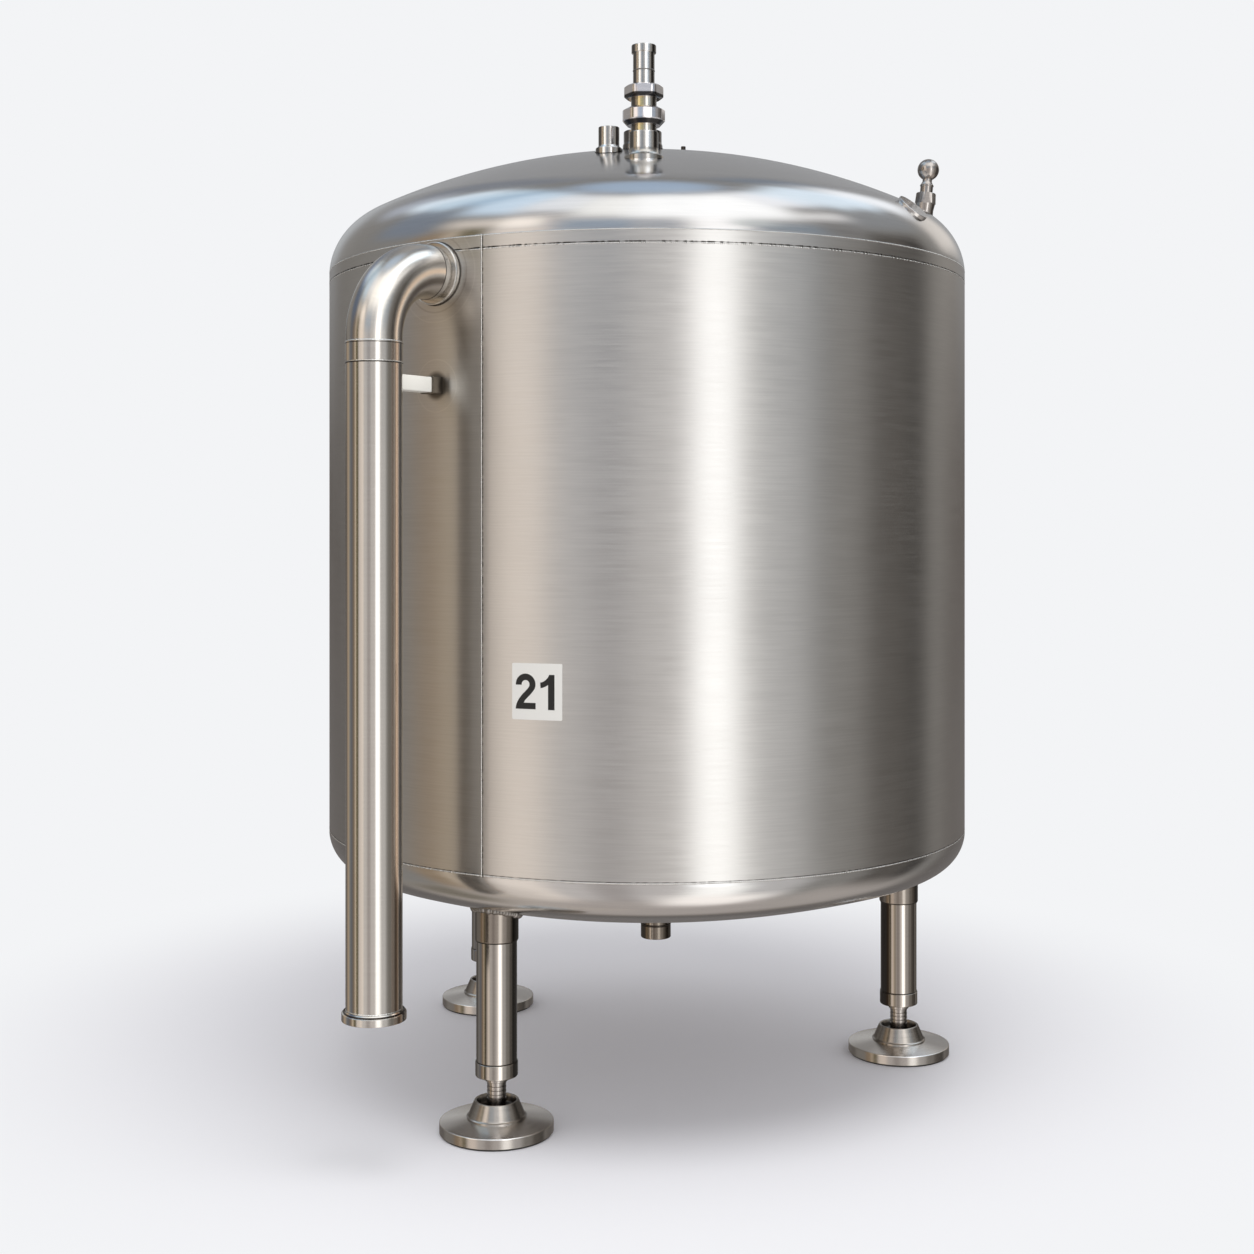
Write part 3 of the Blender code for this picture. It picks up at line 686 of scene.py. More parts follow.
@dataclass(frozen=True)
class StainlessSteel:
    """Stainless steel sheet or bar, whose fine worked lines stretch its highlights."""

    name: str
    colour: str
    polish: Polish
    line: float = 3 * MILLIMETRE
    scratch: float = 50 * MILLIMETRE
    tone: float = 0.03
    bump: float = 0.006 * MILLIMETRE
    waviness: float = 0.0
    # Halos of polish and of painted shadow; stripes and bands of painted highlight and shade
    halos: tuple[Halo, ...] = ()
    painted_light_stripes: tuple[PaintedLightStripe, ...] = ()
    painted_shade_bands: tuple[PaintedShadeBand, ...] = ()
    start: float = 90.0
    sense: float = 1.0

    GRAIN: ClassVar = {"Scale": 1.0, "Detail": 2.0, "Roughness": 0.6}
    CLOUD: ClassVar = {"Scale": 7.0, "Detail": 2.0, "Roughness": 0.5}
    WAVE: ClassVar = {"Scale": 3.5, "Detail": 1.0, "Roughness": 0.4}
    TONE_SPAN: ClassVar = (0.35, 0.65)
    ROUGHNESS_SPREAD: ClassVar = 0.12
    CLOUD_SPREAD: ClassVar = 0.02

    def material(self) -> Material:
        """Builds the finish.

        Returns:
            The material.
        """
        material, tree = empty_material(self.name)
        place = add_node(tree, "ShaderNodeTexCoord").outputs["Object"]
        run = add_node(tree, "ShaderNodeUVMap", uv_map=RUN)
        along, around, _ = add_node(tree, "ShaderNodeSeparateXYZ", (run,)).outputs
        across = add_node(tree, "ShaderNodeMath", (along, 1 / self.line), operation="MULTIPLY")
        fast = add_node(tree, "ShaderNodeCombineXYZ", {"Z": across})
        slow = add_node(
            tree, "ShaderNodeVectorMath", {0: place, "Scale": 1 / self.scratch}, operation="SCALE"
        )
        worked = add_node(tree, "ShaderNodeVectorMath", (slow, fast), operation="ADD")
        grain = add_node(tree, "ShaderNodeTexNoise", {"Vector": worked, **self.GRAIN})
        cloud = add_node(tree, "ShaderNodeTexNoise", {"Vector": place, **self.CLOUD})
        colour = self.striped(tree, self.toned(tree, place, grain, cloud), around)
        for band in self.painted_shade_bands:
            middle, half = (band.low + band.high) / 2, (band.high - band.low) / 2
            colour = self.tinted(tree, colour, along, middle, half, band)
        roughness, stretch = self.polish.value
        least, most = (roughness * (1 + way * self.ROUGHNESS_SPREAD) for way in (-1, 1))
        rough = add_node(tree, "ShaderNodeMapRange", (grain, *NOISE_SPAN, least, most))
        normal = add_node(
            tree, "ShaderNodeBump", {"Strength": 1.0, "Distance": self.bump, "Height": grain}
        )
        if self.waviness:
            wave = add_node(tree, "ShaderNodeTexNoise", {"Vector": place, **self.WAVE})
            normal = add_node(
                tree,
                "ShaderNodeBump",
                {"Strength": 1.0, "Distance": self.waviness, "Height": wave, "Normal": normal},
            )
        inputs = {"Base Color": colour, "Metallic": 1.0, "Roughness": rough, "Normal": normal}
        if stretch:
            inputs["Anisotropic"] = stretch
            inputs["Tangent"] = add_node(
                tree, "ShaderNodeTangent", direction_type="UV_MAP", uv_map=RUN
            )
        shader = add_node(tree, "ShaderNodeBsdfPrincipled", inputs)
        add_node(tree, "ShaderNodeOutputMaterial", {"Surface": shader})
        return material

    def toned(self, tree: NodeTree, place: Feed, grain: Feed, cloud: Feed) -> Feed:
        """Varies the steel's colour by its worked lines, its clouds and its halos of polish and
        painted shadow.

        Args:
            tree: The material's tree.
            place: Object coordinates.
            grain: The worked lines, about 0.3 to 0.7.
            cloud: The large soft variation, about 0.3 to 0.7.

        Returns:
            The colour.
        """
        fine, wide = (
            add_node(tree, "ShaderNodeMapRange", (noise, *span, 1 - spread, 1 + spread))
            for noise, span, spread in (
                (grain, self.TONE_SPAN, self.tone),
                (cloud, NOISE_SPAN, self.CLOUD_SPREAD),
            )
        )
        both = add_node(tree, "ShaderNodeMath", (fine, wide), operation="MULTIPLY")
        base = linear(self.colour)[:3]
        colour = add_node(tree, "ShaderNodeVectorMath", {0: base, "Scale": both}, operation="SCALE")
        for halo in self.halos:
            distance = add_node(
                tree, "ShaderNodeVectorMath", (place, halo.centre), operation="DISTANCE"
            )
            near, far = (
                add_node(
                    tree, "ShaderNodeMapRange", (distance, *span), interpolation_type="SMOOTHSTEP"
                )
                for span in (
                    (halo.inner - halo.soft, halo.inner, 0.0, halo.share),
                    (halo.outer, halo.outer + halo.soft, 1.0, 0.0),
                )
            )
            mask = add_node(tree, "ShaderNodeMath", (near, far), operation="MULTIPLY")
            tint = {0: mask, 6: colour, 7: linear(halo.colour)}
            colour = add_node(tree, "ShaderNodeMix", tint, data_type="RGBA")
        return colour

    def striped(self, tree: NodeTree, colour: Feed, around: Feed) -> Feed:
        """Paints stripes of highlight and shade along a round piece.

        Args:
            tree: The material's tree.
            colour: The colour so far.
            around: The share of the turn round the piece's axis.

        Returns:
            The colour.
        """
        if not self.painted_light_stripes:
            return colour
        full = (around, 360.0 * self.sense, self.start)
        turn = add_node(tree, "ShaderNodeMath", full, operation="MULTIPLY_ADD")
        for stripe in self.painted_light_stripes:
            away = add_node(tree, "ShaderNodeMath", (turn, stripe.azimuth), operation="SUBTRACT")
            away = add_node(tree, "ShaderNodeMath", (away, -180.0, 180.0), operation="WRAP")
            colour = self.tinted(tree, colour, away, 0.0, stripe.half_width, stripe)
        return colour

    @staticmethod
    def tinted(
        tree: NodeTree, colour: Feed, place: Feed, middle: float, half: float, tint: PaintedLightStripe | PaintedShadeBand
    ) -> Feed:
        """Tints the colour where a place lies near a middle.

        Args:
            tree: The material's tree.
            colour: The colour so far.
            place: The place on the piece.
            middle: The middle of the tint.
            half: Half its width.
            tint: Its softness, colour and share.

        Returns:
            The colour.
        """
        away = add_node(tree, "ShaderNodeMath", (place, middle), operation="SUBTRACT")
        away = add_node(tree, "ShaderNodeMath", (away,), operation="ABSOLUTE")
        span = (away, half + tint.soft, half - tint.soft, 0.0, tint.share)
        mask = add_node(tree, "ShaderNodeMapRange", span, interpolation_type="SMOOTHSTEP")
        mix = {0: mask, 6: colour, 7: linear(tint.colour)}
        return add_node(tree, "ShaderNodeMix", mix, data_type="RGBA")


@dataclass(frozen=True)
class MouldedPlastic:
    """Moulded or printed plastic and rubber, plain in colour, with a soft gloss."""

    name: str
    colour: str
    roughness: float
    grit: float = 0.6 * MILLIMETRE
    bump: float = 0.02 * MILLIMETRE
    ior: float = 1.49
    spread: float = 0.1

    def material(self) -> Material:
        """Builds the finish.

        Returns:
            The material.
        """
        material, tree = empty_material(self.name)
        place = add_node(tree, "ShaderNodeTexCoord").outputs["Object"]
        noise = {"Vector": place, "Scale": 1 / self.grit, "Detail": 1.0}
        grit = add_node(tree, "ShaderNodeTexNoise", noise)
        least, most = (self.roughness * (1 + way * self.spread) for way in (-1, 1))
        inputs = {
            "Base Color": linear(self.colour),
            "Roughness": add_node(tree, "ShaderNodeMapRange", (grit, *NOISE_SPAN, least, most)),
            "IOR": self.ior,
            "Normal": add_node(tree, "ShaderNodeBump", {"Distance": self.bump, "Height": grit}),
        }
        shader = add_node(tree, "ShaderNodeBsdfPrincipled", inputs)
        add_node(tree, "ShaderNodeOutputMaterial", {"Surface": shader})
        return material


class Paintbox:
    """Every finish on the tank, each made once."""

    def __init__(self) -> None:
        """Builds the materials."""
        stub = FORM.at(FORM.overflow_azimuth, FORM.radius, FORM.overflow_z)
        foot = FORM.at(FORM.overflow_azimuth, FORM.radius, FORM.bracket_z)
        # Cold-rolled stainless sheet, brushed level: soft upright streaks of light
        self.shell = StainlessSteel(
            "Brushed stainless sheet", "#C9C6C2", Polish.BRUSHED, scratch=0.1, tone=0.035,
            bump=0.03 * MILLIMETRE, waviness=0.6 * MILLIMETRE,
            halos=(
                Halo(stub, 0.0735, 0.0740, 0.0025, "#8E877F", 0.30),
                Halo(stub, 0.0925, 0.0930, 0.0020, "#E4E1DC", 0.25),
                # A painted shadow behind the bracket's foot, and a pale ring round it
                Halo(foot, 0.000, 0.020, 0.012, "#3A342E", 0.75),
                Halo(foot, 0.0500, 0.0505, 0.0020, "#E4E1DC", 0.25),
            ),
        ).material()
        # Stainless end spun over a former and polished in rings: nearly a mirror
        self.ends = StainlessSteel(
            "Spun stainless end", "#CBC9C7", Polish.SPUN, line=2 * MILLIMETRE, scratch=0.1,
            tone=0.02, bump=0.012 * MILLIMETRE, waviness=0.4 * MILLIMETRE,
        ).material()
        # Drawn stainless tube, polished round: its upright strips are painted highlights and
        # reflections, with painted shade on the side towards the shell
        tube = StainlessSteel(
            "Drawn stainless tube", "#CFCAC3", Polish.DRAWN, line=4 * MILLIMETRE, scratch=0.08,
            tone=0.015, bump=0.004 * MILLIMETRE,
            painted_light_stripes=(
                PaintedLightStripe(-56, 5, 4, "#FEE4C4"),
                PaintedLightStripe(-41, 6, 4, "#A0A2A8"),
                PaintedLightStripe(-22, 6, 4, "#B8B4AF"),
                PaintedLightStripe(41, 4, 3, "#B5AFA6"),
                PaintedLightStripe(49, 4, 3, "#FFEFE0"),
                PaintedLightStripe(60, 6, 3, "#C8AE97"),
                PaintedLightStripe(73.5, 5, 3, "#20150D", 0.85),
            ),
        )
        self.pipe = tube.material()
        # The same tube where it is bent: its strips soften along the bend, with its own painted
        # highlights and shade
        self.bend = replace(
            tube, name="Bent stainless tube", colour="#CBC4BB", polish=Polish.BENT, bump=0.0,
            start=180 + FORM.overflow_azimuth, sense=-1.0,
            painted_light_stripes=(
                PaintedLightStripe(-70, 5, 4, "#4A423A", 0.75),
                PaintedLightStripe(-41, 7, 6, "#A0A2A8"),
                PaintedLightStripe(-2, 12, 9, "#DED6CC"),
                PaintedLightStripe(20, 10, 8, "#F6F0E8"),
                PaintedLightStripe(44, 6, 5, "#A8A29A"),
                PaintedLightStripe(58, 5, 4, "#F0D8C0"),
                PaintedLightStripe(78, 9, 7, "#3A2C20", 0.75),
            ),
        ).material()
        # The same tube on the legs: its darker colour, its dark sides and its dark line are painted
        # shade, with a painted highlight in front
        painted_dark_side = PaintedLightStripe(-80, 20, 8, "#4A443E", 0.55)
        leg = replace(
            tube, name="Satin stainless tube", colour="#B3ADA6", tone=0.02,
            painted_light_stripes=(
                painted_dark_side,
                PaintedLightStripe(-46, 6, 4, "#949297", 0.8),
                PaintedLightStripe(-26, 4, 4, "#2E2822", 0.60),
                PaintedLightStripe(12, 7, 4, "#E0D8CF"),
                PaintedLightStripe(77, 22, 5, "#17130E", 0.90),
            ),
        )
        self.leg = leg.material()
        # The same tube on the right leg, with more painted shade: darker, and darkest on the side
        # towards the tank
        self.right_leg = replace(
            leg, name="Satin stainless tube, right", colour="#A8A098",
            painted_light_stripes=(
                PaintedLightStripe(-64, 26, 5, "#1E1816", 0.88),
                PaintedLightStripe(-21, 4, 3, "#8A8070", 0.8),
                PaintedLightStripe(4, 7, 4, "#E0D8CF"),
                PaintedLightStripe(80, 14, 5, "#3A3432", 0.5),
            ),
        ).material()
        # Sleeve in the end's shade: its darker brownish colour and its dark sides are painted shade
        self.sleeve = replace(
            tube, name="Dull stainless sleeve", colour="#9C938A", polish=Polish.BENT, tone=0.03,
            bump=0.0, painted_light_stripes=(painted_dark_side, PaintedLightStripe(72, 24, 5, "#17130E", 0.88)),
        ).material()
        # Square block in a dark tone, beside the white bar
        self.bar = StainlessSteel(
            "Dull stainless block", "#6E665C", Polish.PLAIN, line=1 * MILLIMETRE, scratch=0.02,
            tone=0.035, bump=0.03 * MILLIMETRE,
        ).material()
        # Turned stainless fittings: rings of tool marks that fan the light out
        self.turned = StainlessSteel(
            "Turned stainless fitting", "#C9C4BD", Polish.TURNED, line=0.9 * MILLIMETRE,
            scratch=0.02, tone=0.06, bump=0.02 * MILLIMETRE,
        ).material()
        # Turned round stubs: the same, with painted shade at their sides and painted highlights in
        # front
        stub_steel = StainlessSteel(
            "Turned stainless stub", "#DAD5CE", Polish.TURNED,
            painted_light_stripes=(
                PaintedLightStripe(-62, 16, 5, "#2A2420", 0.80),
                PaintedLightStripe(-24, 7, 4, "#FFFFFF"),
                PaintedLightStripe(-5, 6, 4, "#8E8A84", 0.45),
                PaintedLightStripe(17, 8, 4, "#FFFFFF"),
                PaintedLightStripe(63, 21, 5, "#1A1512", 0.88),
            ),
        )
        self.stub = stub_steel.material()
        # The same on the socket, whose flared foot, fanning out onto the dish, takes one darker
        # tone of painted shade over the stripes
        self.socket = replace(
            stub_steel, name="Turned stainless socket",
            painted_shade_bands=(PaintedShadeBand(0.061, 0.2, 0.002, "#B4B0AA", 0.9),),
        ).material()
        # Milled stainless nut: plain bright flats, with painted shade on its lower chamfer
        self.nut = StainlessSteel(
            "Milled stainless nut", "#ECE8E9", Polish.MILLED, tone=0.04,
            painted_shade_bands=(PaintedShadeBand(0.008, 0.0195, 0.0012, "#1A1614", 0.94),),
        ).material()
        # Turned stainless in painted shade: the drain, darker and warmer, with painted dark sides
        # and a painted highlight
        self.shaded = StainlessSteel(
            "Shaded turned stainless", "#80776D", Polish.TURNED, tone=0.05,
            painted_light_stripes=(
                PaintedLightStripe(-70, 26, 8, "#2A241F", 0.7),
                PaintedLightStripe(-18, 4, 3, "#C8BEB2", 0.8),
                PaintedLightStripe(70, 34, 8, "#2A241F", 0.6),
            ),
        ).material()
        # Turned satin steel of the vent and the feet's stems, with painted shade at its sides
        painted_left_shade = PaintedLightStripe(-75, 22, 10, "#4A443E", 0.5)
        satin = StainlessSteel(
            "Satin turned stainless", "#B5AEA8", Polish.TURNED, tone=0.04,
            painted_light_stripes=(painted_left_shade, PaintedLightStripe(70, 26, 10, "#2A2520", 0.6)),
        )
        self.satin = satin.material()
        # Turned cone, satin, with painted shade at its sides and in its recess
        self.cone = replace(
            satin, name="Satin turned cone", colour="#B5AEA6", polish=Polish.FACED,
            painted_light_stripes=(painted_left_shade, PaintedLightStripe(75, 26, 10, "#2A2520", 0.6)),
            painted_shade_bands=(PaintedShadeBand(-0.01, 0.046, 0.003, "#2E2823", 0.85),),
        ).material()
        # Faced stainless pad: wide rings of tool marks that fan the light out; a painted highlight
        # in front, painted shade at its sides and on its side face
        self.faced = StainlessSteel(
            "Faced stainless pad", "#F4EEE6", Polish.FACED, scratch=0.3, bump=0.0,
            painted_light_stripes=(
                PaintedLightStripe(-62, 22, 18, "#A8A098", 0.75),
                PaintedLightStripe(8, 20, 16, "#FFFFFF", 0.9),
                PaintedLightStripe(84, 34, 20, "#A8A098", 0.75),
            ),
            painted_shade_bands=(PaintedShadeBand(0.1135, 0.20, 0.0008, "#B4AEA8", 1.0),),
        ).material()
        # Forged union body: painted shade at the sides, a golden stripe and a painted highlight
        # towards the front
        self.union = StainlessSteel(
            "Heat-tinted stainless union", "#B4AFA6", Polish.TURNED, line=1 * MILLIMETRE,
            scratch=0.02, tone=0.10,
            painted_light_stripes=(
                PaintedLightStripe(-60, 18, 6, "#3A3228", 0.7),
                PaintedLightStripe(-16, 14, 8, "#E6D29A", 0.9),
                PaintedLightStripe(20, 10, 6, "#F4F0E6", 0.9),
                PaintedLightStripe(64, 22, 6, "#2A2420", 0.8),
            ),
        ).material()
        # TIG weld left bright: small ripples that catch the light
        bright = StainlessSteel(
            "Bright weld bead", "#E6E4E0", Polish.PLAIN, scratch=0.1, tone=0.08, bump=0.0
        )
        self.weld = bright.material()
        # Weld scrubbed grey
        self.dull_weld = replace(
            bright, name="Scrubbed weld bead", colour="#8E8A86", tone=0.12
        ).material()
        # Thin dark line along the toe of a weld or in a joint: oxide and painted crevice shade
        self.oxide_and_shade = replace(
            bright, name="Dark oxide in a joint", colour="#4A4540", tone=0.10
        ).material()
        # Bar in plain white with a soft gloss: the white is a painted highlight on its steel face
        self.painted_highlight_bar = MouldedPlastic("White coated bar", "#FFFFFC", 0.25).material()
        # Moulded black rubber, matt
        self.rubber = MouldedPlastic("Moulded black rubber", "#1B1A19", 0.65).material()
        # White laminate sheet with a soft gloss
        self.white = MouldedPlastic("White laminate sheet", "#F1F1F1", 0.35).material()
        # Black printed film
        self.ink = MouldedPlastic("Black printed film", "#0C0C0C", 0.40).material()


class Slot(Enum):
    """The record's material slots."""

    SHELL = "brushed_shell"
    ENDS = "satin_ends"
    PIPE = "pipe_steel"
    BRACKET = "bracket_steel"
    LEG = "leg_steel"
    FOOT = "foot_steel"
    RUBBER = "foot_rubber"
    FITTING = "fitting_steel"
    PLATE = "plate_white"


def settle(piece: Object, material: Material, slot: Slot, *nodes: str) -> Object:
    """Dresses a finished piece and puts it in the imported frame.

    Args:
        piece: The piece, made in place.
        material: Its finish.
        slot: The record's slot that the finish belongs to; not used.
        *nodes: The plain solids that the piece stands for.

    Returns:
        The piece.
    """
    piece.data.materials.clear()
    piece.data.materials.append(material)
    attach(piece, "root")
    if nodes:
        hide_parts(*nodes)
    LOG.info("%s: %d faces", piece.name, len(piece.data.polygons))
    return piece


# ------------------------------------------------------------------ weld beads


class Bead(NamedTuple):
    """A weld: its width, its full thickness, and its ripples' spacing, jitter and detail."""

    width: float
    height: float
    spacing: float = 0.0035
    jitter: float = 0.12
    smoothness: int = 2


class WeldBeads:
    """Lays overlapping ripples of weld along a path, with a Geometry Nodes tree."""

    OVERLAP: ClassVar[float] = 1.9
    SEED_STEP: ClassVar[int] = 7

    def __init__(self) -> None:
        """Builds the tree."""
        tree = bpy.data.node_groups.new("Weld ripples", "GeometryNodeTree")
        self.tree = tree
        inputs = {
            "Geometry": ("Path",),
            "Float": ("Spacing", "Length", "Width", "Height", "Jitter"),
            "Int": ("Smoothness", "Seed"),
            "Material": ("Material",),
        }
        for kind, names in inputs.items():
            for name in names:
                tree.interface.new_socket(name, in_out="INPUT", socket_type=f"NodeSocket{kind}")
        tree.interface.new_socket("Bead", in_out="OUTPUT", socket_type="NodeSocketGeometry")
        given = add_node(tree, "NodeGroupInput").outputs
        curve = add_node(tree, "GeometryNodeMeshToCurve", {"Mesh": given["Path"]})
        steps = {"Curve": curve, "Length": given["Spacing"]}
        spaced = add_node(tree, "GeometryNodeResampleCurve", steps, mode="LENGTH")
        outward = add_node(
            tree, "GeometryNodeInputNamedAttribute", {"Name": "outward"}, data_type="FLOAT_VECTOR"
        )
        upright = add_node(tree, "FunctionNodeAlignRotationToVector", {"Vector": outward}, axis="Z")
        tangent = add_node(tree, "GeometryNodeInputTangent")
        along = add_node(
            tree,
            "FunctionNodeAlignRotationToVector",
            {"Rotation": upright, "Vector": tangent},
            axis="X",
            pivot_axis="Z",
        )
        least, most = (
            add_node(tree, "ShaderNodeMath", (1.0, given["Jitter"]), operation=way)
            for way in ("SUBTRACT", "ADD")
        )
        span = {2: least, 3: most, "Seed": given["Seed"]}
        chance = add_node(tree, "FunctionNodeRandomValue", span, data_type="FLOAT")
        sizes = [given[name] for name in ("Length", "Width", "Height")]
        size = add_node(tree, "ShaderNodeCombineXYZ", sizes)
        varied = add_node(
            tree, "ShaderNodeVectorMath", {0: size, "Scale": chance}, operation="SCALE"
        )
        ball = {"Radius": 0.5, "Subdivisions": given["Smoothness"]}
        ripple = add_node(tree, "GeometryNodeMeshIcoSphere", ball)
        placed = add_node(
            tree,
            "GeometryNodeInstanceOnPoints",
            {"Points": spaced, "Instance": ripple, "Rotation": along, "Scale": varied},
        )
        real = add_node(tree, "GeometryNodeRealizeInstances", (placed,))
        finish = {"Geometry": real, "Material": given["Material"]}
        add_node(tree, "NodeGroupOutput", (add_node(tree, "GeometryNodeSetMaterial", finish),))

    def lay(
        self, name: str, path: Path, bead: Bead, finish: Material, slot: Slot, closed: bool = True
    ) -> Object:
        """Lays one bead.

        Args:
            name: The bead's name.
            path: Points with the direction that the bead faces.
            bead: Its sizes. Half of its thickness stands proud of the path.
            finish: Its finish.
            slot: The record's slot that the finish belongs to.
            closed: True where the path is a ring.

        Returns:
            The bead.
        """
        mesh = bpy.data.meshes.new(name)
        count = len(path)
        edges = [(i, (i + 1) % count) for i in range(count if closed else count - 1)]
        mesh.from_pydata([place for place, _ in path], edges, [])
        outward = mesh.attributes.new("outward", "FLOAT_VECTOR", "POINT")
        outward.data.foreach_set("vector", [value for _, way in path for value in way])
        thing = bpy.data.objects.new(name, mesh)
        bpy.context.scene.collection.objects.link(thing)
        modifier = thing.modifiers.new("Ripples", "NODES")
        modifier.node_group = self.tree
        values = {
            "Spacing": bead.spacing,
            "Length": bead.spacing * self.OVERLAP,
            "Width": bead.width,
            "Height": bead.height,
            "Jitter": bead.jitter,
            "Smoothness": bead.smoothness,
            "Seed": len(name) * self.SEED_STEP + count,
            "Material": finish,
        }
        for item in self.tree.interface.items_tree:
            if item.in_out == "INPUT" and item.name in values:
                modifier[item.identifier] = values[item.name]
        graph = bpy.context.evaluated_depsgraph_get()
        made = bpy.data.meshes.new_from_object(thing.evaluated_get(graph))
        thing.modifiers.clear()
        thing.data = made
        made.name = name
        if "outward" in made.attributes:
            made.attributes.remove(made.attributes["outward"])
        for face in made.polygons:
            face.use_smooth = True
        return settle(thing, finish, slot)


@dataclass
class SubAssembly:
    """Part of the tank, with the finishes and the weld tool that it is made with."""

    paint: Paintbox
    beads: WeldBeads

    slot: ClassVar[Slot] = Slot.FITTING

    def turn(
        self,
        name: str,
        outline: Outline,
        place: Matrix,
        finish: Material,
        node: str,
        **options: object,
    ) -> None:
        """Turns a piece and dresses it.

        Args:
            name: The piece's name.
            outline: Points (radius, z).
            place: Its axis.
            finish: Its finish.
            node: The plain solid that it stands for.
            **options: What else the lathe is told.
        """
        settle(turned(name, outline, place, **options), finish, self.slot, node)

    def line(
        self,
        name: str,
        place: Matrix,
        radius: float,
        z: float,
        width: float,
        finish: Material | None = None,
    ) -> None:
        """Lays a thin smooth ring round a tube, such as the dark line of a joint in oxide and
        painted crevice shade.

        Args:
            name: The ring's name.
            place: The tube's axis.
            radius: The ring's radius, to the middle of its section.
            z: Its height along the axis.
            width: The width of its round section.
            finish: Its finish, or None for a joint's oxide and painted shade.
        """
        outline = arc((radius, z), (width / 2, width / 2), 0, 360, 8)[:-1]
        settle(turned(name, outline, place), finish or self.paint.oxide_and_shade, self.slot)

    def weld(
        self, name: str, path: Path, bead: Bead, finish: Material, closed: bool = True
    ) -> None:
        """Lays a weld of this sub-assembly."""
        self.beads.lay(name, path, bead, finish, self.slot, closed)


# ------------------------------------------------------------------ the tank's body


# How far a seam's edge lies from its middle
SEAM_EDGE = 2.8 * MILLIMETRE


class Seam(NamedTuple):
    """A line of weld or, where it isn't bright, of oxide and painted crevice shade.

    Its place is a hoop's height, or how far an upright line lies aside of the seam.
    """

    name: str
    place: float
    width: float
    jitter: float
    bright: bool


@dataclass
class TankBody(SubAssembly):
    """The rolled shell, the band above it, the two dished ends and their seams."""

    slot: ClassVar[Slot] = Slot.SHELL

    steps: int = 256
    outer_rings: tuple[int, int] = (28, 26)
    inner_rings: tuple[int, int] = (8, 8)
    inset: float = 0.0004
    edge: float = 0.0006
    sunk: float = 0.0002
    bead_height: float = 0.0007
    bead_spacing: float = 0.004
    seam_azimuth: float = -27.0
    hoops: tuple[Seam, ...] = (
        Seam("top_seam_weld", FORM.band_top, 0.0036, 0.06, True),
        Seam("band_seam_weld", FORM.upper_seam, 0.0024, 0.50, False),
        Seam("band_seam_edge", FORM.upper_seam - SEAM_EDGE, 0.0026, 0.30, True),
        Seam("bottom_seam_weld", FORM.bottom_seam, 0.0036, 0.08, True),
        Seam("bottom_seam_edge", FORM.bottom_seam + SEAM_EDGE, 0.0016, 0.20, False),
    )
    uprights: tuple[Seam, ...] = (
        Seam("upright_seam_weld", 0.0, 0.0040, 0.10, True),
        Seam("upright_seam_edge", 0.0034, 0.0026, 0.20, False),
    )

    def build(self) -> None:
        """Makes every piece of the body."""
        self.sheet("shell_sheet", FORM.bottom_seam, FORM.upper_seam, "shell_wall")
        self.sheet("band_sheet", FORM.upper_seam, FORM.band_top, "upper_band")
        self.dish("top_dish", End.TOP, FORM.band_top, "top_head")
        self.dish("bottom_dish", End.BOTTOM, FORM.bottom_seam, "bottom_head")
        self.seams()

    def sheet(self, name: str, low: float, high: float, node: str) -> None:
        """Rolls one ring of sheet.

        Args:
            name: The piece's name.
            low: Its lower edge.
            high: Its upper edge.
            node: The plain solid that it stands for.
        """
        outer, inner = FORM.radius - self.inset, FORM.radius - FORM.sheet
        corners = [
            (inner, low),
            (outer, low, self.edge),
            (outer, (low + high) / 2),
            (outer, high, self.edge),
            (inner, high),
        ]
        outline = rounded(corners, steps=3)
        self.turn(name, outline, FORM.upright(), self.paint.shell, node, steps=self.steps)

    def dish(self, name: str, end: End, seam: float, node: str) -> None:
        """Spins one dished end.

        Args:
            name: The piece's name.
            end: Which end.
            seam: The height of its rim.
            node: The plain solid that it stands for.
        """
        outer, inner = (
            [(r, z) for r, z in wall if (z - seam) * end.value > 0 or end is End.BOTTOM]
            for wall in (
                FORM.end_outline(end, 0.0, *self.outer_rings),
                FORM.end_outline(end, FORM.sheet, *self.inner_rings),
            )
        )
        outer = [(min(r, FORM.radius - self.inset), z) for r, z in outer]
        outline = [*outer, (outer[-1][0], seam), (inner[-1][0], seam), *inner[::-1]]
        outline[0] = (0.0, outline[0][1])
        outline[-1] = (0.0, outline[-1][1])
        piece = turned(name, outline, FORM.upright(), self.steps)
        settle(piece, self.paint.ends, Slot.ENDS, node)

    def seams(self) -> None:
        """Lays the welds between the sheets and up the shell."""
        proud = FORM.radius - self.inset - self.sunk
        lines = [(seam, FORM.hoop(proud, seam.place)) for seam in self.hoops]
        for seam in self.uprights:
            azimuth = self.seam_azimuth + math.degrees(seam.place / FORM.radius)
            lines.append((seam, FORM.upright_line(azimuth, proud)))
        for seam, path in lines:
            bead = Bead(seam.width, self.bead_height, self.bead_spacing, seam.jitter, smoothness=1)
            # Seams that aren't bright are dark lines of oxide and painted crevice shade
            finish = self.paint.weld if seam.bright else self.paint.oxide_and_shade
            self.weld(seam.name, path, bead, finish, closed=seam in self.hoops)


# ------------------------------------------------------------------ overflow


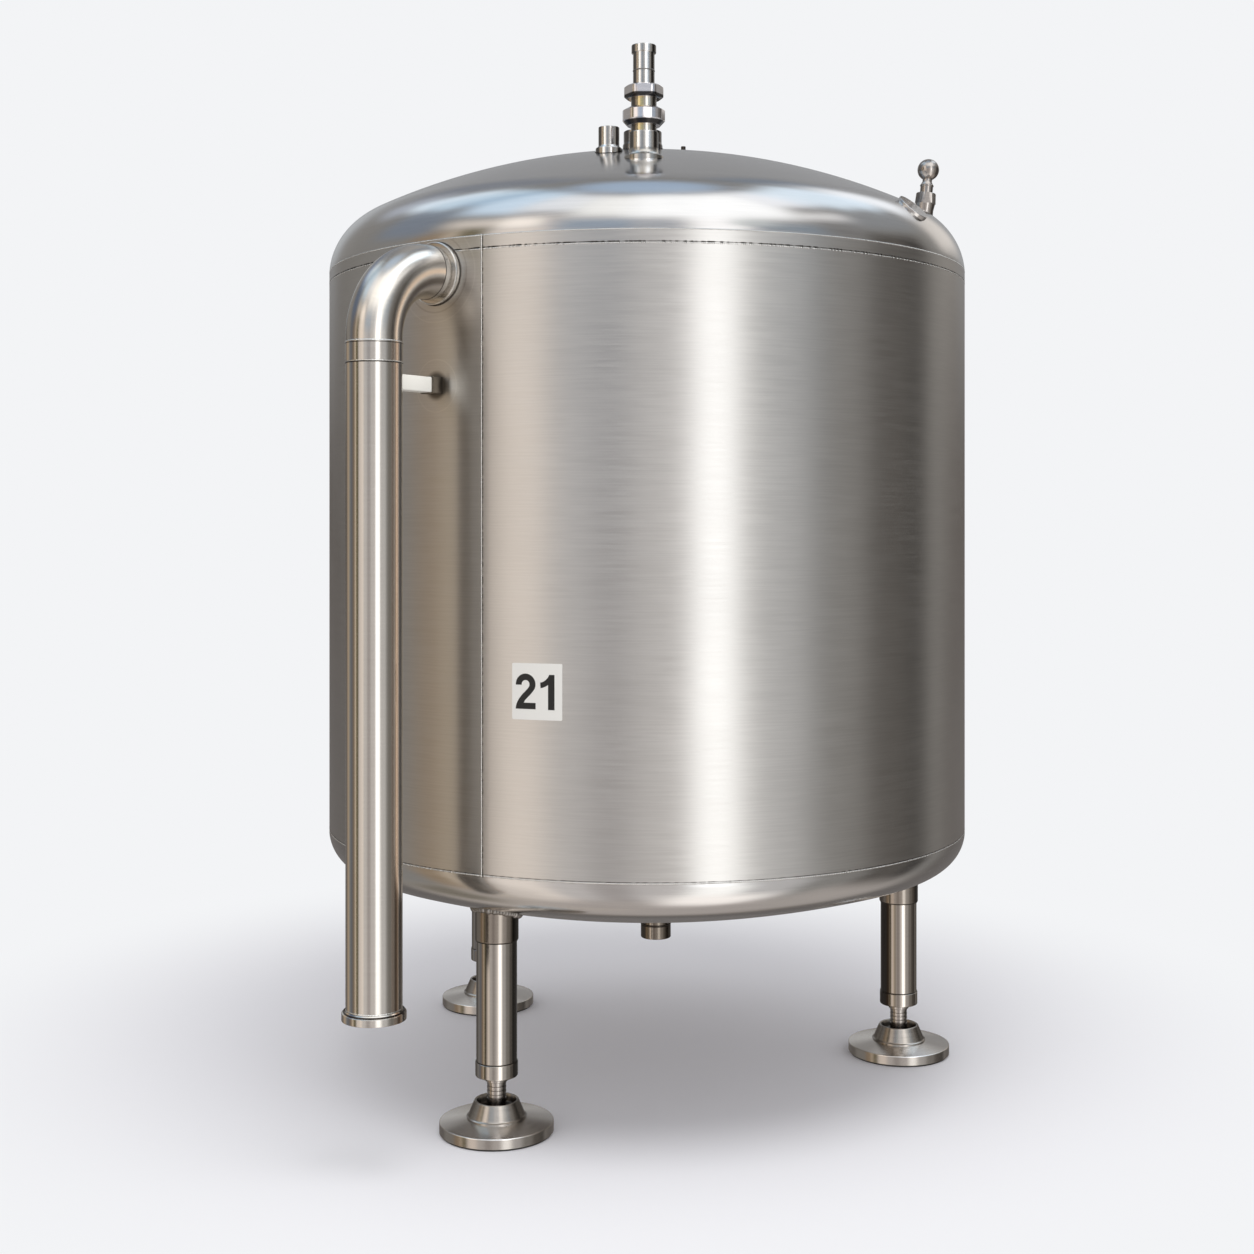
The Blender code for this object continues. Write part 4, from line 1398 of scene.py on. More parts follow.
@dataclass
class OverflowPipe(SubAssembly):
    """The overflow: collar and bend at the shell, joint, downpipe and clamp ferrule."""

    slot: ClassVar[Slot] = Slot.PIPE

    azimuth: float = FORM.overflow_azimuth
    z: float = FORM.overflow_z
    radius: float = 0.052
    wall: float = 0.003
    reach: float = 0.868
    stub_end: float = 0.728
    lead: float = 0.003
    bend_end: float = 1.524
    collar_radius: float = 0.0595
    collar_face: float = 0.7075
    collar_back: float = 0.690
    collar_rim: float = 0.0034
    collar_bead: Bead = Bead(0.005, 0.0024)
    sleeve_radius: float = 0.0528
    sleeve_bottom: float = 1.488
    ferrule_radius: float = 0.0595
    ferrule_top: float = 0.303
    ferrule_rim: float = 0.2976
    ferrule_bottom: float = 0.284
    hub_radius: float = 0.0545
    bead: Bead = Bead(0.0038, 0.0016, 0.0028)
    line_width: float = 0.0020
    line_drop: float = 0.0026
    sunk: float = 0.0004
    overlap: float = 0.001

    @property
    def bore(self) -> float:
        """The radius of the bore."""
        return self.radius - self.wall

    @property
    def down(self) -> Matrix:
        """The place of the downpipe's axis."""
        return Matrix.Translation(FORM.at(self.azimuth, self.reach))

    @property
    def sideways(self) -> Matrix:
        """The place of the stub's axis, +Z pointing out of the shell."""
        return FORM.sideways(self.azimuth, self.z)

    def build(self) -> None:
        """Makes every piece of the overflow."""
        self.collar()
        self.stub()
        self.bend()
        self.joint()
        self.downpipe()
        self.ferrule()

    def collar(self) -> None:
        """Makes the ring that is welded to the shell round the stub."""
        place, radius = self.sideways, self.collar_radius
        bore, ends = self.radius - self.overlap, (self.collar_face, self.collar_back)
        outline = section(bore, radius, *ends, (0.003, 0.0))
        self.turn(
            "overflow_collar", outline, place, self.paint.turned, "overflow_shell_ring",
            seat=FORM.outward(self.azimuth),
        )
        rim = (radius - self.overlap, self.collar_face, self.collar_rim)
        self.line("overflow_collar_rim", place, *rim, self.paint.weld)
        path = FORM.ring_on_shell(place, radius + 0.0005)
        # The collar's weld is laid dark, in oxide and painted shade
        self.weld("overflow_collar_weld", path, self.collar_bead, self.paint.oxide_and_shade)

    def stub(self) -> None:
        """Makes the short stub between the shell and the bend."""
        outline = section(self.bore, self.radius, FORM.radius - FORM.sheet, self.stub_end)
        place = self.sideways
        self.turn("overflow_stub_tube", outline, place, self.paint.turned, "overflow_stub")
        line = (self.radius - self.sunk, self.stub_end, self.line_width)
        # A dark line of oxide and painted shade where the stub meets the bend
        self.line("overflow_stub_line", place, *line)

    def ring_weld(self, name: str, radius: float, z: float) -> None:
        """Lays a weld round the downpipe, its middle just inside a radius."""
        path = FORM.ring_on_tube(self.down, radius - self.sunk, z, steps=96)
        self.weld(name, path, self.bead, self.paint.weld)

    def bend(self) -> None:
        """Sweeps the bend from the stub down to the joint."""
        radius = self.reach - self.stub_end - self.lead
        turn = arc((self.reach - radius, self.z - radius), (radius, radius), 90, 0, 28)
        places = [(self.stub_end, self.z), *turn, (self.reach, self.bend_end)]
        path = [FORM.at(self.azimuth, reach, z) for reach, z in places]
        side = UP.cross(FORM.outward(self.azimuth)).normalized()
        piece = tube_along("overflow_bend", path, side, self.radius, self.bore)
        settle(piece, self.paint.bend, self.slot, "overflow_elbow")

    def joint(self) -> None:
        """Makes the sleeve under the bend, with a weld at each of its ends."""
        ends = (self.sleeve_bottom, self.bend_end)
        outline = section(self.bore, self.sleeve_radius, *ends, (0.0008, 0.0008))
        self.turn(
            "overflow_joint", outline, self.down, self.paint.pipe, "overflow_joint_sleeve"
        )
        for name, z in (("upper", self.bend_end), ("lower", self.sleeve_bottom)):
            self.ring_weld(f"overflow_{name}_weld", self.sleeve_radius - self.sunk, z)
            line = (self.sleeve_radius - 0.0006, z - self.line_drop, self.line_width)
            # A dark line of oxide and painted shade under each weld
            self.line(f"overflow_{name}_line", self.down, *line)

    def downpipe(self) -> None:
        """Makes the straight pipe down to the ferrule."""
        outline = section(self.bore, self.radius, self.ferrule_top, self.sleeve_bottom)
        self.turn("overflow_pipe", outline, self.down, self.paint.pipe, "overflow_downpipe")

    def ferrule(self) -> None:
        """Turns the clamp ferrule at the pipe's foot."""
        top, rim, bottom = self.ferrule_top, self.ferrule_rim, self.ferrule_bottom
        corners = [
            (self.bore, top),
            (self.radius, top),
            (self.radius + 0.0006, top - 0.0008, 0.001),
            (self.hub_radius, rim + 0.0022, 0.002),
            (self.ferrule_radius, rim, 0.0012),
            (self.ferrule_radius, bottom, 0.0012),
            (self.bore, bottom, 0.0008),
            (self.bore, top),
        ]
        outline = rounded(corners)[:-1]
        self.turn(
            "overflow_clamp_ferrule", outline, self.down, self.paint.pipe, "overflow_ferrule"
        )
        self.ring_weld("overflow_ferrule_weld", self.radius, top + 0.001)
        groove = (self.hub_radius + 0.001, rim + 0.0024, 0.0026)
        # A dark groove line of oxide and painted shade
        self.line("overflow_ferrule_groove", self.down, *groove)


@dataclass
class PipeBracket:
    """The bar and block that hold the overflow pipe off the shell."""

    paint: Paintbox
    pipe: OverflowPipe
    z: float = FORM.bracket_z
    bar: float = 0.029
    block: float = 0.033
    joint: float = 0.7266
    edge: float = 0.0020
    pipe_overlap: float = 0.0028
    shell_overlap: float = 0.002

    def build(self) -> None:
        """Makes the bar and the block."""
        end = self.pipe.reach - self.pipe.radius + self.pipe_overlap
        root = FORM.radius - self.shell_overlap
        # The bar's white is a painted highlight
        self.piece("bracket_strut", self.bar, self.joint, end, self.paint.painted_highlight_bar, "bracket_bar")
        self.piece("bracket_foot", self.block, root, self.joint, self.paint.bar, "bracket_block")

    def piece(
        self, name: str, width: float, near: float, far: float, finish: Material, node: str
    ) -> None:
        """Makes one square length between two distances from the axis.

        Args:
            name: The piece's name.
            width: Its width and height.
            near: Where it starts.
            far: Where it ends.
            finish: Its finish.
            node: The plain solid that it stands for.
        """
        turn = Matrix.Rotation(math.radians(self.pipe.azimuth), 4, "Z")
        middle = FORM.at(self.pipe.azimuth, (near + far) / 2, self.z)
        size = Vector((width, far - near, width))
        piece = block(name, size, Matrix.Translation(middle) @ turn, self.edge)
        settle(piece, finish, Slot.BRACKET, node)


# ------------------------------------------------------------------ legs and feet


@dataclass
class Leg(SubAssembly):
    """One leg: sleeve, tube and collar, then the foot's stem, cone, pad and rubber."""

    slot: ClassVar[Slot] = Slot.LEG

    name: str
    azimuth: float
    sleeve_bottom: float
    steel: Material
    circle: float = 0.569
    sleeve_radius: float = 0.043
    tube_radius: float = 0.040
    wall: float = 0.0025
    collar_radius: float = 0.0418
    collar_top: float = 0.140
    collar_bottom: float = 0.111
    stem_radius: float = 0.0188
    stem_ring: float = 0.0222
    stem_ring_bottom: float = 0.101
    groove_count: int = 4
    groove_depth: float = 0.0016
    groove_pitch: float = 0.008
    cone_base: float = 0.059
    cone_foot: float = 0.056
    cone_top_radius: float = 0.0432
    cone_top: float = 0.064
    cone_floor: float = 0.048
    cone_lip: float = 0.004
    pad_radius: float = 0.112
    pad_bottom: float = 0.004
    pad_rim: float = 0.0235
    pad_crown: float = 0.031
    rubber_radius: float = 0.109
    bead: Bead = Bead(0.016, 0.012, 0.006, 0.30)

    @property
    def place(self) -> Matrix:
        """The place of the leg's axis."""
        return Matrix.Translation(FORM.at(self.azimuth, self.circle))

    def build(self) -> None:
        """Makes every piece of the leg."""
        self.post()
        self.foot()

    def post(self) -> None:
        """Makes the sleeve, the tube and the collar."""
        head, tube, stem = FORM.bottom_tangent, self.tube_radius, self.stem_radius
        top, radius = self.collar_top, self.collar_radius
        sleeve = section(tube, self.sleeve_radius, self.sleeve_bottom, head, (0.001, 0.0))
        collar = rounded(
            [
                (stem, top),
                (tube, top),
                (radius, top - 0.0015, 0.0012),
                (radius, self.collar_bottom, 0.003),
                (stem, self.collar_bottom),
            ]
        )
        rows = (
            ("sleeve", sleeve, self.paint.sleeve, {"seat": -UP}),
            ("tube", section(tube - self.wall, tube, top, head), self.steel, {"seat": -UP}),
            ("collar", collar, self.steel, {}),
        )
        for kind, outline, finish, options in rows:
            names = f"{self.name}_leg_{kind}", f"leg_{self.name}_{kind}"
            self.turn(names[0], outline, self.place, finish, names[1], **options)
        # Dark rings of oxide and painted crevice shade at the sleeve's step, the tube's seam and
        # the stem's lip
        lines = (
            ("step", tube + 0.0004, self.sleeve_bottom - 0.0012, 0.0030),
            ("seam", tube, top + 0.0004, 0.0022),
            ("lip", self.stem_ring, self.collar_bottom - 0.0004, 0.0024),
        )
        for kind, *sizes in lines:
            self.line(f"{self.name}_leg_{kind}", self.place, *sizes)
        centre = FORM.at(self.azimuth, self.circle)
        path = FORM.ring_on_end(End.BOTTOM, centre, self.sleeve_radius + 0.001)
        self.weld(f"{self.name}_leg_weld", path, self.bead, self.paint.dull_weld)

    def foot(self) -> None:
        """Makes the stem, the cone, the pad and the rubber."""
        stem, ring, ring_foot = self.stem_radius, self.stem_ring, self.stem_ring_bottom
        top, lip, base, crown = self.cone_top_radius, self.cone_lip, self.cone_base, self.pad_crown
        outlines = {
            "stem": [
                (0.0, self.collar_top),
                (stem, self.collar_top),
                (stem, self.collar_bottom),
                (ring, self.collar_bottom, 0.0008),
                (ring, ring_foot, 0.0012),
                (stem, ring_foot - 0.001, 0.0006),
                *self.grooves(),
                (stem, self.cone_floor),
                (0.0, self.cone_floor),
            ],
            "cone": [
                (0.0, self.cone_floor),
                (top - 2 * lip, self.cone_floor, 0.004),
                (top - lip, self.cone_top, 0.0015),
                (top, self.cone_top, 0.0015),
                (self.cone_foot, crown + lip, 0.004),
                (base, crown + lip / 2, 0.001),
                (base, crown),
                (0.0, crown),
            ],
            "pad": [
                (0.0, crown),
                (base, crown),
                (self.pad_radius, self.pad_rim, 0.002),
                (self.pad_radius, self.pad_bottom),
                (0.0, self.pad_bottom),
            ],
            "rubber": [
                (0.0, self.pad_bottom),
                (self.rubber_radius, self.pad_bottom),
                (self.rubber_radius, 0.0, 0.001),
                (0.0, 0.0),
            ],
        }
        finishes = (self.paint.satin, self.paint.cone, self.paint.faced, self.paint.rubber)
        for (kind, corners), finish in zip(outlines.items(), finishes):
            piece = turned(f"{self.name}_foot_{kind}", rounded(corners), self.place)
            slot = Slot.RUBBER if kind == "rubber" else Slot.FOOT
            settle(piece, finish, slot, f"foot_{self.name}_{kind}")

    def grooves(self) -> Outline:
        """Lists the corners of the stem's turned grooves.

        Returns:
            Points (radius, z), downwards.
        """
        corners, bottom = [], self.stem_radius - self.groove_depth
        for i in range(self.groove_count):
            z = self.stem_ring_bottom - 0.006 - self.groove_pitch * i
            corners += [(self.stem_radius, z), (bottom, z - 0.0008)]
            corners += [(bottom, z - 0.0026), (self.stem_radius, z - 0.0034)]
        return corners


# ------------------------------------------------------------------ fittings on top


class NutSize(NamedTuple):
    """A hexagon nut's radii, heights and turn in degrees."""

    corner: float
    turned: float
    top_face: float
    bottom_face: float
    top_z: float
    top_chamfer_z: float
    bottom_chamfer_z: float
    bottom_z: float
    turn: float


@dataclass
class NozzleStack(SubAssembly):
    """The tall nozzle: flared socket, union with two nuts, and ferruled spigot."""

    x: float = -0.0106
    y: float = -0.490
    socket_radius: float = 0.0285
    socket_top: float = 1.9568
    flare_radius: float = 0.0388
    flare_top: float = 1.9213
    flare_bottom: float = 1.908
    union_radius: float = 0.025
    spigot_radius: float = 0.0211
    spigot_top: float = 2.1265
    rim_radius: float = 0.0242
    rim_z: float = 2.111
    joint_z: float = 2.0766
    bead: Bead = Bead(0.003, 0.0014, 0.0025)
    lower_nut: NutSize = NutSize(
        0.0470, 0.0416, 0.0314, 0.0323, 2.0036, 1.9977, 1.9789, 1.9688, 8.5
    )
    upper_nut: NutSize = NutSize(
        0.0403, 0.0384, 0.0320, 0.0320, 2.0473, 2.0436, 2.0259, 2.0212, 0.0
    )

    @property
    def axis(self) -> Matrix:
        """The place of the stack's axis."""
        return FORM.upright(self.x, self.y)

    def build(self) -> None:
        """Makes every piece of the stack."""
        self.socket()
        self.union()
        self.nut("nozzle_lower_hexagon", self.lower_nut, "nozzle_lower_nut")
        self.nut("nozzle_upper_hexagon", self.upper_nut, "nozzle_upper_nut")
        self.spigot()

    def socket(self) -> None:
        """Turns the socket, whose foot flares out onto the dish."""
        radius, foot, top = self.socket_radius, self.flare_radius, self.flare_top
        head = self.socket_top
        outline = rounded([(0.0, head), (radius, head, 0.002), (radius, top + 0.004)])
        outline += arc((foot, top), (radius - foot, self.flare_bottom - top), 0, 90, 8)
        outline += [(foot, FORM.band_top), (0.0, FORM.band_top)]
        self.turn(
            "nozzle_flared_socket", outline, self.axis, self.paint.socket, "nozzle_socket", seat=UP
        )

    def union(self) -> None:
        """Turns the union's body between the nuts."""
        outline = section(0.0, self.union_radius, self.socket_top, self.upper_nut.top_z)
        self.turn("nozzle_union_body", outline, self.axis, self.paint.union, "nozzle_union")

    def nut(self, name: str, size: NutSize, node: str) -> None:
        """Turns and mills one hexagon nut.

        Args:
            name: The piece's name.
            size: The nut's sizes.
            node: The plain solid that it stands for.
        """
        apothem = size.corner * FLAT
        bore = self.union_radius - 0.001
        outline: Outline = [(bore, size.bottom_z)]
        outline += self.chamfer(size.bottom_face, size.bottom_z, size.turned, size.bottom_chamfer_z)
        outline += self.chamfer(size.turned, size.top_chamfer_z, size.top_face, size.top_z)
        outline.append((bore, size.top_z))
        place = self.axis @ Matrix.Rotation(math.radians(size.turn), 4, "Z")
        self.turn(name, outline, place, self.paint.nut, node, steps=120, apothem=apothem)

    @staticmethod
    def chamfer(radius: float, z: float, end_radius: float, end_z: float) -> Outline:
        """Lists a straight chamfer in six steps."""
        shares = [i / 6 for i in range(7)]
        return [(radius + (end_radius - radius) * t, z + (end_z - z) * t) for t in shares]

    def spigot(self) -> None:
        """Turns the spigot with the rim at its top."""
        base, radius, rim = self.upper_nut.top_z, self.spigot_radius, self.rim_radius
        corners = [
            (0.0, self.spigot_top),
            (rim, self.spigot_top, 0.0015),
            (rim, self.rim_z, 0.0015),
            (radius, self.rim_z, 0.001),
            (radius, base),
            (0.0, base),
        ]
        outline = rounded(corners)
        self.turn("nozzle_ferruled_spigot", outline, self.axis, self.paint.stub, "nozzle_spigot")
        path = FORM.ring_on_tube(self.axis, radius, self.joint_z, steps=60)
        self.weld("nozzle_tube_weld", path, self.bead, self.paint.dull_weld)


@dataclass
class PlainNozzle(SubAssembly):
    """A short plugged nozzle with a welded collar at its foot."""

    name: str
    x: float
    y: float
    top: float
    radius: float
    collar: float
    collar_height: float = 0.010
    plug_rim: float = 0.0045
    plug_recess: float = 0.003
    bead: Bead = Bead(0.0030, 0.0016, 0.0022, 0.05)

    def build(self) -> None:
        """Turns the nozzle."""
        place = FORM.upright(self.x, self.y)
        centre = place.translation
        shoulder = FORM.height(End.TOP, centre.x, centre.y) + self.collar_height
        recess, plug = self.top - self.plug_recess, self.radius - self.plug_rim
        corners = [
            (0.0, recess),
            (plug, recess, 0.0006),
            (plug, self.top, 0.001),
            (self.radius, self.top, 0.0015),
            (self.radius, shoulder, 0.002),
            (self.collar, shoulder - self.collar_height / 2, 0.002),
            (self.collar, FORM.band_top),
            (0.0, FORM.band_top),
        ]
        outline = rounded(corners)
        self.turn(f"{self.name}_plugged", outline, place, self.paint.stub, self.name, seat=UP)
        path = FORM.ring_on_end(End.TOP, centre, self.collar + 0.0006)
        self.weld(f"{self.name}_weld", path, self.bead, self.paint.turned)


@dataclass
class SmallTopPieces(SubAssembly):
    """The small plug, the round pad and the vent with its ball top."""

    plug_place: tuple[float, float] = (0.0766, -0.185)
    plug_radius: float = 0.005
    plug_top: float = 1.995
    pad_azimuth: float = 54.2
    pad_reach: float = 0.657
    pad_radius: float = 0.0345
    pad_sheet: float = 0.004
    vent_azimuth: float = 68.5
    vent_reach: float = 0.627
    vent_lean: float = 5.2
    vent_root: float = -0.020
    stem_radii: tuple[float, float] = (0.0180, 0.0205)
    nut_heights: tuple[float, float] = (0.0147, 0.0366)
    nut_radii: tuple[float, float] = (0.0231, 0.0206)
    nut_face: float = 0.94
    nut_chamfer: float = 0.0015
    neck_radius: float = 0.0132
    ridge_radius: float = 0.0142
    ridge_height: float = 0.0527
    ridge: float = 0.001
    throat_radius: float = 0.0100
    ball_radius: float = 0.0225
    ball_height: float = 0.0865

    def build(self) -> None:
        """Makes the three pieces."""
        self.plug()
        self.pad()
        self.vent()

    def knuckle_place(self, azimuth: float, reach: float) -> tuple[Vector, float]:
        """Finds a place on the top end's knuckle.

        Args:
            azimuth: The place's azimuth.
            reach: Its distance from the tank's axis.

        Returns:
            The point, and its normal's angle from +Z.
        """
        knuckle = FORM.knuckles[End.TOP]
        slope = math.asin((reach - FORM.radius + knuckle) / knuckle)
        return FORM.at(azimuth, reach, FORM.top_tangent + knuckle * math.cos(slope)), slope

    def plug(self) -> None:
        """Turns the small plug behind the nozzles."""
        outline = section(0.0, self.plug_radius, self.plug_top, FORM.band_top, (0.001, 0.0))
        self.turn(
            "dome_plug_turned", outline, FORM.upright(*self.plug_place), self.paint.oxide_and_shade,
            "dome_plug", steps=48, seat=UP,
        )

    def pad(self) -> None:
        """Turns the flat round pad that is welded on the knuckle."""
        centre, slope = self.knuckle_place(self.pad_azimuth, self.pad_reach)
        turn = Matrix.Rotation(math.radians(self.pad_azimuth), 4, "Z")
        place = Matrix.Translation(centre) @ turn @ Matrix.Rotation(slope, 4, "X")
        radius = self.pad_radius
        outline = section(0.0, radius, self.pad_sheet, -radius, (0.0012, 0.0))
        outward = (place.to_3x3() @ UP).normalized()
        self.turn("round_pad", outline, place, self.paint.ends, "dome_pad", seat=outward)

    def vent(self) -> None:
        """Turns the vent's stem, nut and ball knob."""
        centre, _ = self.knuckle_place(self.vent_azimuth, self.vent_reach)
        place = Matrix.Translation(centre) @ Matrix.Rotation(math.radians(self.vent_lean), 4, "Y")
        up = (place.to_3x3() @ UP).normalized()
        nut_bottom, nut_top = self.nut_heights
        foot, stem_top = self.stem_radii
        corners = [
            (0.0, nut_bottom),
            (stem_top, nut_bottom, 0.001),
            (foot, 0.0),
            (foot, self.vent_root),
            (0.0, self.vent_root),
        ]
        satin = self.paint.satin
        stem = rounded(corners)
        self.turn("vent_stem_turned", stem, place, satin, "vent_stem", steps=64, seat=up)
        bottom, top = self.nut_radii
        nut = [
            (0.0, nut_bottom),
            (bottom * self.nut_face, nut_bottom),
            (bottom, nut_bottom + self.nut_chamfer),
            (top, nut_top - self.nut_chamfer),
            (top * self.nut_face, nut_top),
            (0.0, nut_top),
        ]
        flat = (bottom + top) / 2 * FLAT
        self.turn("vent_hexagon", nut, place, satin, "vent_nut", steps=120, apothem=flat)
        ball = self.ball_radius
        throat = math.degrees(math.asin(self.throat_radius / ball))
        knob = arc((0.0, self.ball_height), (ball, ball), 90, throat - 90, 24)
        knob[0] = (0.0, knob[0][1])
        ridge, middle, neck = self.ridge, self.ridge_height, self.neck_radius
        knob += rounded(
            [
                (self.throat_radius, middle + 8 * ridge),
                (neck, middle + 2 * ridge, 0.001),
                (self.ridge_radius, middle + ridge, 0.0008),
                (self.ridge_radius, middle - ridge, 0.0008),
                (neck, middle - 2 * ridge, 0.001),
                (neck, nut_top - 0.001),
                (0.0, nut_top - 0.001),
            ]
        )
        self.turn("vent_ball_knob", knob, place, satin, "vent_knob", steps=72)


@dataclass
class Drain(SubAssembly):
    """The drain's neck under the bottom end, and its closed ferrule."""

    offset: float = 0.021
    neck_radius: float = 0.0318
    joint: float = 0.295
    radius: float = 0.0335
    bottom: float = 0.266
    bead: Bead = Bead(0.005, 0.003, 0.003)

    def build(self) -> None:
        """Makes the neck and the ferrule."""
        place, finish = FORM.upright(self.offset), self.paint.shaded
        neck = section(0.0, self.neck_radius, self.joint, FORM.bottom_tangent)
        self.turn("drain_neck_tube", neck, place, finish, "drain_neck", seat=-UP)
        groove = (self.neck_radius + 0.0004, self.joint + 0.0012, 0.0034)
        # A dark groove line of oxide and painted shade
        self.line("drain_groove", place, *groove)
        ends = (self.joint - 0.0004, self.bottom)
        ferrule = section(0.0, self.radius, *ends, (0.002, 0.003))
        self.turn("drain_closed_ferrule", ferrule, place, finish, "drain_ferrule")
        centre = FORM.at(90, self.offset)
        path = FORM.ring_on_end(End.BOTTOM, centre, self.neck_radius + 0.0005)
        self.weld("drain_weld", path, self.bead, self.paint.weld)


# ------------------------------------------------------------------ number plate


@dataclass
class NumberPlate:
    """The plate on the shell with its two plain figures."""

    paint: Paintbox
    azimuth: float = -17.5
    z: float = 0.880
    width: float = 0.099
    height: float = 0.105
    sheet: float = 0.001
    gap: float = 0.0003
    corner: float = 0.0025
    film: float = 0.0002
    sunk: float = 0.0006
    bowl_centre: tuple[float, float] = (-22.2, 13.4)
    bowl_radii: tuple[float, float] = (19.8, 7.9)
    bowl_turn: tuple[float, float] = (180, -22)

    def build(self) -> None:
        """Makes the plate and its figures."""
        high = FORM.radius + self.gap + self.sheet - self.film
        place = (self.azimuth, self.z)
        plate = wrapped("plate_sheet", [self.outline()], FORM.radius - self.sunk, high, place)
        settle(plate, self.paint.white, Slot.PLATE, "number_plate")
        figures = [
            [(x * MILLIMETRE, y * MILLIMETRE) for x, y in figure]
            for figure in (self.two(), self.one())
        ]
        film = wrapped("plate_figures", figures, high - self.film, high + self.film, place)
        settle(film, self.paint.ink, Slot.PLATE)

    def outline(self) -> Outline:
        """Outlines the plate with its corners rounded.

        Returns:
            Points (across, up).
        """
        points, radii = [], (self.corner, self.corner)
        across, up = self.width / 2 - self.corner, self.height / 2 - self.corner
        for x, y, start in ((1, -1, -90), (1, 1, 0), (-1, 1, 90), (-1, -1, 180)):
            points += arc((x * across, y * up), radii, start, start + 90, 4)
        return points

    def two(self) -> Outline:
        """The outline in millimetres of a plain bold figure two."""
        (start, stop), (outer, inner) = self.bowl_turn, self.bowl_radii
        return [
            (-30.0, 12.2), (-42.0, 12.2),
            *arc(self.bowl_centre, (outer, outer), start, stop, 16),
            (-7.5, 0.6), (-12.4, -5.2), (-18.0, -10.6), (-23.6, -16.4), (-25.8, -20.9),
            (-2.2, -20.9), (-2.2, -32.5), (-42.2, -32.5), (-41.6, -27.0), (-39.4, -20.6),
            (-35.4, -13.4), (-29.6, -6.4), (-24.0, -0.6), (-19.4, 4.0), (-15.8, 8.0),
            *arc(self.bowl_centre, (inner, inner), stop, start, 16),
        ]

    def one(self) -> Outline:
        """The outline in millimetres of a plain bold figure one."""
        return [
            (34.7, 32.0), (24.6, 32.0), (21.4, 26.2), (17.0, 21.6), (12.2, 18.6), (6.8, 17.0),
            (7.6, 6.8), (13.0, 8.2), (18.4, 10.6), (22.2, 13.2), (22.2, -33.2), (34.7, -33.2),
        ]


# ------------------------------------------------------------------ studio


class Panel(NamedTuple):
    """A lit or dark panel of the studio, placed by direction in degrees."""

    azimuth: float
    half_width: float
    low: float
    high: float
    colour: str
    strength: float = 1.0
    edge: float = 4.0
    rim: float = 5.0


